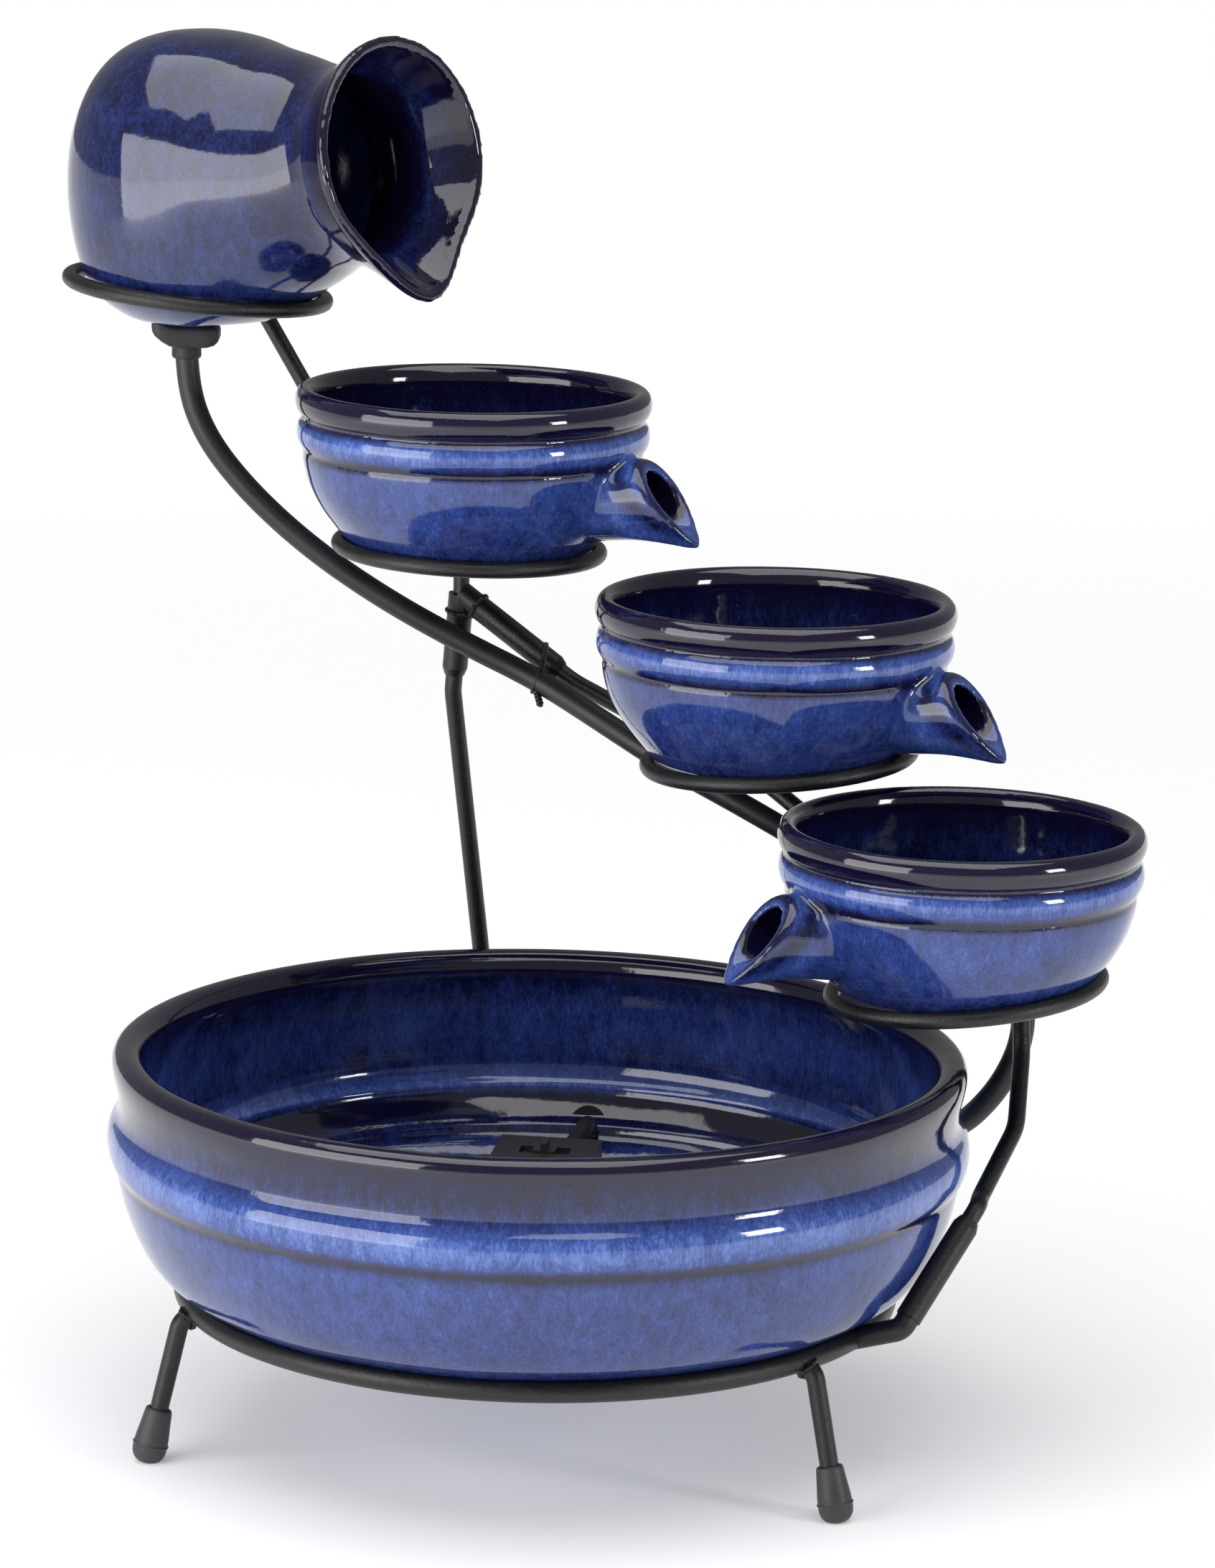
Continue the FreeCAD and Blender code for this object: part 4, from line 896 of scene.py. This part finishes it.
def neck_ring(reach, radius, draw, shrink, count=128):
    """A ring across the neck; its lower edge is drawn to a pouring tip, and the sides beside
    the tip are pressed in."""
    angle = np.linspace(0, 2 * np.pi, count, endpoint=False)
    from_low = np.abs(np.arctan2(np.sin(angle + np.pi / 2), np.cos(angle + np.pi / 2)))
    tip = 10.5 * draw * np.exp(-(from_low / 0.36) ** 2)
    pressed = -2.2 * draw * np.exp(-((from_low - 0.80) / 0.36) ** 2)
    r = radius - shrink + tip + pressed
    forward = 5.0 * draw * np.exp(-(from_low / 0.5) ** 2)
    squash = 1 - 0.055 * draw
    return np.column_stack([r * np.cos(angle), r * squash * np.sin(angle), reach + forward])


def neck_frame():
    """Turns a piece made along +Z into the neck's direction, from the belly's middle."""
    upright = Matrix.Rotation(math.radians(90), 4, "Y") @ Matrix.Rotation(math.radians(90), 4, "Z")
    return (Matrix.Translation(spot(*JUG_PLACE)) @ Matrix.Rotation(math.radians(NECK_TURN), 4, "Z")
            @ Matrix.Rotation(math.radians(NECK_PITCH), 4, "Y") @ upright)


def neck_clay(name, shrink, overrun):
    """The neck's solid, drawn in by shrink. An overrun makes it a cutter that goes on past
    the mouth."""
    rings = np.array([neck_ring(*ring, shrink) for ring in NECK_RINGS])
    dense = [row.reshape(-1, 3)
             for row in smooth_line(rings.reshape(len(rings), -1), NECK_ROWS)]
    if overrun:
        last = dense[-1].copy()
        last[:, :2] *= 1.05
        last[:, 2] += overrun
        dense.append(last)
    data = ringed(name, dense, MM)
    data.transform(neck_frame())
    return data


def jug_reach(points):
    """How far along the neck and how far from its axis each point is, in millimetres."""
    back = neck_frame().inverted()
    local = points @ np.array(back.to_3x3()).T + np.array(back.translation)
    return local[:, 2] / MM, np.hypot(local[:, 0], local[:, 1]) / MM


def belly_and_neck(name, line, turns, shrink, overrun, grain):
    """One skin over a belly and a neck, with the shoulder between them rounded."""
    belly = thrown(name + "_belly", line, turns, 0, 3)
    belly.transform(Matrix.Translation(spot(*JUG_PLACE)))
    obj = joined(name, [belly, neck_clay(name + "_neck", shrink, overrun)])
    remeshed(obj, grain)
    relaxed(obj.data, 14)
    reach = jug_reach(points_of(obj.data))[0]
    shoulder = np.clip((reach - 4) / 14, 0, 1) * np.clip((86 - reach) / 10, 0, 1)
    softened(obj.data, 150, shoulder)
    return obj


class BATH_OT_jug(bpy.types.Operator):
    """Throw the jug and draw out its mouth"""

    bl_idname = "bath.jug"
    bl_label = "Jug"

    def execute(self, context):
        grain = context.scene.bath_sizes.voxel * JUG_GRAIN
        line = turned_line(JUG_OUTSIDE, JUG_ROWS)
        run = line - HOLLOW_CENTRE
        depth = np.maximum(np.linalg.norm(run, axis=1), 1)
        inner = HOLLOW_CENTRE + run * (1 - JUG_WALL / depth)[:, None]
        inner[0, 0] = inner[-1, 0] = 0
        obj = belly_and_neck("jug_pot", line, JUG_TURNS, 0.0, 0, grain)
        carved(obj, belly_and_neck("jug_inside", inner, HOLLOW_TURNS, JUG_WALL, PAST_MOUTH, grain))
        remeshed(obj, grain)
        data = obj.data
        relaxed(data, 9)
        softened(data, 9, np.clip((jug_reach(points_of(data))[0] - 92) / 4, 0, 1))
        mark(data, jug_glaze(points_of(data)))
        finished(obj, "stand", "jug_glaze", MATERIALS["jug_glaze"], "jug")
        return {"FINISHED"}


def jug_glaze(points):
    """Glaze mark over the jug: burnt rim, painted shade that blackens the throat and the hollow, brighter flare
    and shoulders.
    """
    reach, radius = jug_reach(points)
    off = (points - np.array(spot(*JUG_PLACE))) / MM
    value = 0.50 + 0.05 * np.clip(-off[:, 2] / 50, -1, 1)
    on_neck = reach > 50
    flare = staged(reach, [(50, 0.50), (66, 0.42), (84, 0.44), (91, 0.34), (96, 0.14),
                           (101, 0.07)])
    value = np.where(on_neck, flare, value)
    edge = staged(reach, [ring[:2] for ring in NECK_RINGS])
    inside = on_neck & (radius < edge - JUG_WALL * 0.55)
    # inside the neck, darker the deeper in: painted shade in the throat
    value = np.where(inside, staged(reach, [(50, 0.0), (66, 0.02), (76, 0.24), (84, 0.48),
                                            (93, 0.42), (98, 0.2), (102, 0.07)]), value)
    # the hollow inside the belly is painted black as shade
    return np.where((np.linalg.norm(off, axis=1) < HOLLOW_REACH) & ~on_neck, 0.0, value)


# ---- rods, welds and caps --------------------------------------------------------------

WELD_POINTS = 24
# radius of the weld round a leg and round a sleeve, in millimetres
LEG_WELD_RADIUS = 3.9
SLEEVE_WELD_RADIUS = 5.0
# bearing of the rear leg, and how far round from it each leg stands, in degrees
FIRST_LEG = 78.4
LEGS = (("rear", 0), ("left", 120), ("right", 240))
# reach and height of a leg's weld, of its knee and of its end, in millimetres
LEG_WELD = (139.4, 55.9)
LEG_KNEE = (142.5, 54.0)
LEG_END = (154.0, 6.0)
# where the two sleeves meet, and a place further down each one's rod, in millimetres
SLEEVE_JOINT = (-37.0, 158.0, 303.0)
POST_END = (-39.4, 160.0, 269.0)
ARM_END = (4.0, 143.0, 274.5)


def upright_to(axis):
    """The turn that takes +Z to an axis."""
    return Vector((0, 0, 1)).rotation_difference(Vector(axis).normalized()).to_matrix()


def on_leg(step, place):
    """A place given by its reach and height on the bearing of a leg."""
    turn = math.radians(FIRST_LEG + step)
    reach, height = place
    return spot(reach * math.cos(turn), reach * math.sin(turn), height)


def bead_tree(material):
    """Weld ripples set along a curve: flattened drops, closely spaced."""
    tree = bpy.data.node_groups.new("weld_ripples", "GeometryNodeTree")
    face = tree.interface
    face.new_socket("Geometry", in_out="INPUT", socket_type="NodeSocketGeometry")
    spacing = face.new_socket("Spacing", in_out="INPUT", socket_type="NodeSocketFloat")
    size = face.new_socket("Bead", in_out="INPUT", socket_type="NodeSocketFloat")
    face.new_socket("Geometry", in_out="OUTPUT", socket_type="NodeSocketGeometry")
    nodes, links = tree.nodes, tree.links
    source = nodes.new("NodeGroupInput")
    target = nodes.new("NodeGroupOutput")
    spread = nodes.new("GeometryNodeCurveToPoints")
    spread.mode = "LENGTH"
    drop = nodes.new("GeometryNodeMeshIcoSphere")
    drop.inputs["Subdivisions"].default_value = 2
    turn = nodes.new("FunctionNodeAlignRotationToVector")
    turn.axis = "Z"
    place = nodes.new("GeometryNodeInstanceOnPoints")
    random = nodes.new("FunctionNodeRandomValue")
    random.data_type = "FLOAT"
    random.inputs[2].default_value = 0.82
    random.inputs[3].default_value = 1.18
    random.inputs["Seed"].default_value = 7
    squash = nodes.new("ShaderNodeCombineXYZ")
    for key, share in (("X", 1.0), ("Y", 1.0), ("Z", 0.72)):
        squash.inputs[key].default_value = share
    scale = nodes.new("ShaderNodeVectorMath")
    scale.operation = "SCALE"
    solid = nodes.new("GeometryNodeRealizeInstances")
    paint = nodes.new("GeometryNodeSetMaterial")
    paint.inputs["Material"].default_value = material
    links.new(source.outputs["Geometry"], spread.inputs["Curve"])
    links.new(source.outputs["Spacing"], spread.inputs["Length"])
    links.new(source.outputs["Bead"], drop.inputs["Radius"])
    links.new(spread.outputs["Points"], place.inputs["Points"])
    links.new(drop.outputs["Mesh"], place.inputs["Instance"])
    links.new(spread.outputs["Tangent"], turn.inputs["Vector"])
    links.new(turn.outputs["Rotation"], place.inputs["Rotation"])
    links.new(squash.outputs["Vector"], scale.inputs[0])
    links.new(random.outputs[1], scale.inputs["Scale"])
    links.new(scale.outputs["Vector"], place.inputs["Scale"])
    links.new(place.outputs["Instances"], solid.inputs["Geometry"])
    links.new(solid.outputs["Geometry"], paint.inputs["Geometry"])
    links.new(paint.outputs["Geometry"], target.inputs["Geometry"])
    return tree, spacing.identifier, size.identifier


def weld(name, tree, at, axis, radius, bead, lean=0.0):
    """A ring of weld ripples round a rod that stands on another piece. A lean bends the ring
    to a saddle, as where a rod meets another one's side."""
    curve = bpy.data.curves.new(name, "CURVE")
    curve.dimensions = "3D"
    line = curve.splines.new("POLY")
    line.points.add(WELD_POINTS - 1)
    turn = upright_to(axis)
    for index, point in enumerate(line.points):
        angle = 2 * math.pi * index / WELD_POINTS
        local = Vector((radius * math.cos(angle), radius * math.sin(angle),
                        lean * math.cos(2 * angle)))
        point.co = (*(Vector(at) + turn @ local), 1)
    line.use_cyclic_u = True
    obj = new_object(name, curve)
    group, spacing, size = tree
    mod = obj.modifiers.new("ripples", "NODES")
    mod.node_group = group
    mod[spacing] = bead * 0.85
    mod[size] = bead
    data = baked(obj)
    bpy.data.objects.remove(obj)
    bpy.data.curves.remove(curve)
    return data


class BATH_OT_welds(bpy.types.Operator):
    """Lay the weld beads where the rods meet"""

    bl_idname = "bath.welds"
    bl_label = "Welds"

    def execute(self, context):
        bead = context.scene.bath_sizes.weld_bead
        tree = bead_tree(MATERIALS["frame"])
        beads = []
        for name, step in LEGS:
            inner = on_leg(step, LEG_WELD)
            beads.append(weld(name + "_weld", tree, inner, on_leg(step, LEG_KNEE) - inner,
                              LEG_WELD_RADIUS * MM, bead, lean=bead))
        node = spot(*SLEEVE_JOINT)
        for name, end, share in (("post", POST_END, 0.22), ("arm", ARM_END, 0.17)):
            way = spot(*end) - node
            beads.append(weld(name + "_sleeve_weld", tree, node + way * share, way,
                              SLEEVE_WELD_RADIUS * MM, bead))
        finished(joined("weld_beads", beads), "stand", "frame", MATERIALS["frame"])
        return {"FINISHED"}


CAP_OUTLINE = [
    (0, -0.6), (2.2, -0.55), (3.9, 0.0), (5.3, 1.2), (6.25, 3.0), (6.6, 5.0), (6.62, 6.2),
    (6.95, 6.5), (6.98, 7.1), (6.6, 7.5), (6.4, 10.0), (5.9, 14.0), (5.45, 18.0),
    (5.2, 20.0), (4.95, 20.8), (4.4, 21.2), (3.8, 21.2), (3.7, 20.6), (3.6, 18.8), (0, 18.6),
]


def lathe(name, at, axis, line, turns):
    """A turned piece on any axis from a closed (radius, along) line in millimetres."""
    data = thrown(name, line, turns, 0, 1)
    data.transform(Matrix.Translation(at) @ upright_to(axis).to_4x4())
    return data


class BATH_OT_caps(bpy.types.Operator):
    """Fit the rubber foot caps"""

    bl_idname = "bath.caps"
    bl_label = "Foot caps"

    def execute(self, context):
        outline = turned_line(CAP_OUTLINE, 90)
        for name, step in LEGS:
            end = on_leg(step, LEG_END)
            down = (end - on_leg(step, LEG_KNEE)).normalized()
            data = lathe(name + "_cap", end + down * 6.0 * MM, -down, outline, 72)
            points = points_of(data)
            # the rubber is flattened where it stands on the floor
            points[:, 2] = np.maximum(points[:, 2], 0.0)
            set_points(data, points)
            finished(new_object(name + "_cap", data), "stand", "cap_rubber",
                     MATERIALS["cap_rubber"], name + "_foot_cap")
        return {"FINISHED"}


# ---- hose and fittings -----------------------------------------------------------------

ENTRY_BEARING = math.radians(82.4)
# from the connector under the jug, down the arm and round the basin's back, in millimetres
HOSE_ROUTE = [
    (-149.5, 160.0, 404.48), (-149.5, 160.0, 387.48), (-142.0, 157.5, 366.0),
    (-124.5, 154.0, 344.5), (-99.0, 149.5, 322.5), (-69.0, 145.5, 303.0),
    (-36.0, 141.0, 286.0), (-5.0, 134.5, 272.5), (19.0, 117.0, 261.0), (47.0, 102.0, 246.0),
    (79.0, 88.0, 232.0), (112.0, 83.5, 214.0), (144.0, 77.0, 200.5), (172.0, 66.0, 188.5),
    (189.0, 54.0, 171.5), (190.5, 48.0, 151.0), (183.0, 50.0, 131.0), (171.0, 60.0, 113.0),
    (162.8, 82.6, 102.0), (152.3, 104.2, 95.0), (138.9, 124.1, 90.0), (124.1, 143.0, 87.0),
    (112.8, 164.2, 85.0), (100.2, 182.2, 84.3), (81.1, 193.2, 84.0), (59.2, 195.1, 84.0),
    (38.5, 187.6, 84.0),
]
# through the grommet to the pump: reach along its bearing, sideways step, and height
HOSE_ENTRY = [(173.5, 0.0, 84.0), (131.5, 0.0, 84.0), (101.5, 3.5, 81.5), (74.0, 0.0, 84.0),
              (41.02, 0.0, 84.0)]


def on_entry(reach, across, height):
    """A place on the bearing where the hose enters the basin, in millimetres."""
    c, s = math.cos(ENTRY_BEARING), math.sin(ENTRY_BEARING)
    return spot(reach * c - across * s, reach * s + across * c, height)


class BATH_OT_hose(bpy.types.Operator):
    """Run the water hose from the pump to the jug"""

    bl_idname = "bath.hose"
    bl_label = "Water hose"

    def execute(self, context):
        radius = context.scene.bath_sizes.hose_radius
        route = [spot(*place) for place in HOSE_ROUTE] + [on_entry(*step) for step in HOSE_ENTRY]
        curve = bpy.data.curves.new("hose", "CURVE")
        curve.dimensions = "3D"
        spline = curve.splines.new("NURBS")
        spline.points.add(len(route) - 1)
        for point, place in zip(spline.points, route):
            point.co = (*place, 1)
        spline.order_u = 3
        spline.use_endpoint_u = True
        spline.resolution_u = 14
        curve.bevel_depth = radius
        curve.bevel_resolution = 9
        curve.use_fill_caps = True
        hose = finished(new_object("hose", curve), "stand", "hose", MATERIALS["hose"],
                        "water_hose")
        return {"FINISHED"}


# the flange, from end to end: along, height, half width and half thickness
FLANGE_STATIONS = [
    (-13.8, 411.2, 6.0, 2.0), (-13.4, 411.0, 8.0, 3.4), (-12.4, 410.2, 9.0, 4.2),
    (-9.6, 408.4, 9.4, 4.7), (-6.6, 406.8, 9.5, 4.8), (-3.0, 406.2, 9.5, 4.8),
    (3.0, 406.2, 9.5, 4.8), (8.5, 406.3, 9.5, 4.7), (11.4, 406.6, 9.1, 4.1),
    (12.8, 406.9, 8.0, 3.1), (13.4, 407.0, 6.0, 1.7),
]
FERRULE_OUTLINE = [
    (0, 0), (5.0, 0), (5.7, 0.4), (6.0, 1.4), (6.0, 4.0), (6.6, 5.6), (8.6, 7.0), (8.6, 8.4),
    (0, 8.6),
]
FERRULE_FOOT = 396.8
# the arm's sleeve and the hose where the tie holds them, and the way they run there
TIED_SLEEVE = (-3.4, 145.7, 279.6)
TIED_HOSE = (-5.0, 134.5, 272.5)
TIED_WAY = (0.82, -0.34, -0.46)
# radius of the tie's wire in its loops and in its twisted ends, and of the twist itself
LOOP_WIRE = 0.75
TWIST_WIRE = 0.72
TWIST_RADIUS = 0.85


def squared(wave, corner):
    """A sine or cosine wave with fuller shoulders, for a soft-cornered outline."""
    return np.sign(wave) * np.abs(wave) ** corner


def slab(name, stations, x, y, corner=0.42, count=40):
    """A soft-edged strip along X through stations of (along, height, half width, half
    thickness), in millimetres."""
    angle = np.linspace(0, 2 * np.pi, count, endpoint=False)
    wide, tall = squared(np.cos(angle), corner), squared(np.sin(angle), corner)
    rings = []
    for along, height, half_width, half_thick in stations:
        at = np.array(spot(x + along, y, height))
        rings.append(np.column_stack([np.full(count, at[0]), at[1] + wide * half_width * MM,
                                      at[2] + tall * half_thick * MM]))
    return ringed(name, rings)


def tube_along(name, line, radius, count=14, tips=True):
    """A closed round wire through points in metres; its tips are drawn in unless it is a
    loop."""
    points = np.array(line, float)
    ways = np.gradient(points, axis=0)
    ways /= np.linalg.norm(ways, axis=1)[:, None]
    side = np.cross(ways[0], (0.3, 0.2, 0.9))
    rings = []
    angle = np.linspace(0, 2 * np.pi, count, endpoint=False)[:, None]
    for index, (at, way) in enumerate(zip(points, ways)):
        side = side - way * (side @ way)
        side /= np.linalg.norm(side)
        up = np.cross(way, side)
        width = radius * (0.55 if tips and index in (0, len(points) - 1) else 1.0)
        rings.append(at + width * (np.cos(angle) * side + np.sin(angle) * up))
    return ringed(name, rings)


def tie_wires():
    """Two loops of wire round the sleeve and the hose, and the twisted ends on each side."""
    sleeve, hose = spot(*TIED_SLEEVE), spot(*TIED_HOSE)
    across = (hose - sleeve).normalized()
    along = Vector(TIED_WAY).normalized()
    along = (along - across * along.dot(across)).normalized()
    side = along.cross(across)
    half = (hose - sleeve).length / 2
    wires = []
    for lead, shift in ((1.0, -1.3), (-1.0, 1.3)):
        loop = []
        for t in np.linspace(0, 2 * math.pi, 61):
            reach = half * squared(math.cos(t), 0.55)
            place = (hose + sleeve) / 2 + across * (reach + math.cos(t) * 6.1 * MM)
            place += side * math.sin(t) * 6.3 * MM
            place += along * (shift + lead * 1.1 * math.sin(t * 0.5)) * MM
            loop.append(place)
        wires.append(tube_along("tie_loop", loop, LOOP_WIRE * MM, tips=False))
    for start, out in ((hose + across * 5.6 * MM, across * 0.7 + side * 0.5 + along * 0.5),
                       (sleeve - across * 5.0 * MM, -across * 0.6 + side * 0.8)):
        out = out.normalized()
        turn = out.orthogonal().normalized()
        other = out.cross(turn)
        for phase in (0, math.pi):
            twist = []
            for k in range(30):
                angle = phase + k * 0.55
                off = (turn * math.cos(angle) + other * math.sin(angle)) * TWIST_RADIUS * MM
                twist.append(start + out * (0.25 * k) * MM + off)
            wires.append(tube_along("tie_twist", twist, TWIST_WIRE * MM))
    return wires


class BATH_OT_fittings(bpy.types.Operator):
    """Fit the rubber flange under the jug and the wire tie on the hose"""

    bl_idname = "bath.fittings"
    bl_label = "Fittings"

    def execute(self, context):
        x, y = HOSE_ROUTE[0][:2]
        ferrule = lathe("flange_ferrule", spot(x, y, FERRULE_FOOT), (0, 0, 1),
                        smooth_line(FERRULE_OUTLINE, 60), 56)
        flange = joined("jug_flange", [slab("jug_flange", FLANGE_STATIONS, x, y), ferrule])
        finished(flange, "stand", "black_rubber", MATERIALS["black_rubber"], "hose_flange")
        finished(joined("hose_tie_wire", tie_wires()), "stand", "plastic",
                 MATERIALS["plastic"], "hose_tie")
        return {"FINISHED"}


# ---- studio ----------------------------------------------------------------------------

# the camera's place in millimetres, how far it looks down and how far it is turned about its
# own line of sight, in degrees
CAMERA_AT = (24.014, -2283.524, 748.365)
CAMERA_DIP = 12.1
CAMERA_ROLL = 1.2
FLOOR_REACH = 16.0
LIGHTS_AIM = (0, 0, 0.28)


def softbox(name, watts, at, size):
    """A rectangular lamp that faces the middle of the object."""
    lamp = bpy.data.lights.new(name, "AREA")
    lamp.shape = "RECTANGLE"
    lamp.size, lamp.size_y = size
    lamp.energy = watts
    obj = new_object(name, lamp)
    obj.location = at
    obj.rotation_euler = (Vector(LIGHTS_AIM) - Vector(at)).to_track_quat("-Z", "Y").to_euler()


class BATH_OT_studio(bpy.types.Operator):
    """Lay the floor, hang the lights and place the camera"""

    bl_idname = "bath.studio"
    bl_label = "Studio"

    def execute(self, context):
        studio = context.scene.bath_studio
        corners = [(x * FLOOR_REACH, y * FLOOR_REACH, 0)
                   for x, y in ((-1, -1), (1, -1), (1, 1), (-1, 1))]
        floor = new_object("paper_floor", new_mesh("paper_floor", corners, [(0, 1, 2, 3)]))
        n = Nodes("paper")
        # the paper brightens away from the lamps, so that it looks evenly lit
        away = n.add("ShaderNodeVectorMath", operation="LENGTH")
        n.link(n.coords, away.inputs[0])
        n.feed(n.shader.inputs["Emission Strength"],
               n.spread(away.outputs["Value"], 0.4, 2.8, 0.26, 0.78))
        n.finish(tuple(studio.floor), 0.85, None, Specular_IOR_Level=0.15,
                 Emission_Color=(1, 1, 1, 1))
        floor.data.materials.append(n.material)
        softbox("left_softbox", studio.key, (-1.35, -1.05, 0.50), (1.5, 1.15))
        softbox("right_window", studio.window, (1.55, -0.95, 0.62), (0.34, 0.5))
        softbox("top_softbox", studio.key * 1.15, (-0.1, -0.25, 1.75), (2.0, 1.7))
        world = bpy.data.worlds.new("pale_room")
        world.use_nodes = True
        back = world.node_tree.nodes["Background"]
        back.inputs["Color"].default_value = (1.0, 1.0, 1.0, 1)
        back.inputs["Strength"].default_value = 0.24
        context.scene.world = world
        context.scene.view_settings.view_transform = "Standard"
        lens = bpy.data.cameras.new("camera")
        lens.lens = studio.lens
        lens.sensor_width = 36.0
        lens.sensor_fit = "HORIZONTAL"
        camera = new_object("camera", lens)
        camera.matrix_world = (Matrix.Translation(spot(*CAMERA_AT))
                               @ Matrix.Rotation(math.radians(90 - CAMERA_DIP), 4, "X")
                               @ Matrix.Rotation(math.radians(CAMERA_ROLL), 4, "Z"))
        context.scene.camera = camera
        return {"FINISHED"}


# ---- sidebar and registration ----------------------------------------------------------

OPERATORS = (BATH_OT_studio, BATH_OT_finishes, BATH_OT_hose, BATH_OT_basin, BATH_OT_bowls,
             BATH_OT_jug, BATH_OT_welds, BATH_OT_caps, BATH_OT_fittings)


class BATH_PT_sidebar(bpy.types.Panel):
    """The pieces of the bird bath"""

    bl_idname = "BATH_PT_sidebar"
    bl_label = "Bird Bath"
    bl_space_type = "VIEW_3D"
    bl_region_type = "UI"
    bl_category = "Bird Bath"

    def draw(self, context):
        layout = self.layout
        for group in (context.scene.bath_sizes, context.scene.bath_colours,
                      context.scene.bath_studio):
            box = layout.box()
            for name in group.__annotations__:
                box.prop(group, name)
        for operator in OPERATORS:
            layout.operator(operator.bl_idname)


GROUPS = {"bath_sizes": BathSizes, "bath_colours": BathColours, "bath_studio": BathStudio}
CLASSES = (*GROUPS.values(), *OPERATORS, BATH_PT_sidebar)


def register():
    """Adds the classes and the scene's own groups of sizes and colours."""
    for kind in CLASSES:
        bpy.utils.register_class(kind)
    for name, kind in GROUPS.items():
        setattr(bpy.types.Scene, name, PointerProperty(type=kind))


def unregister():
    """Takes away what register added."""
    for name in GROUPS:
        delattr(bpy.types.Scene, name)
    for kind in reversed(CLASSES):
        bpy.utils.unregister_class(kind)


def main():
    """Makes every piece in order."""
    register()
    for operator in OPERATORS:
        group, name = operator.bl_idname.split(".")
        getattr(getattr(bpy.ops, group), name)()


if __name__ == "__main__":
    main()
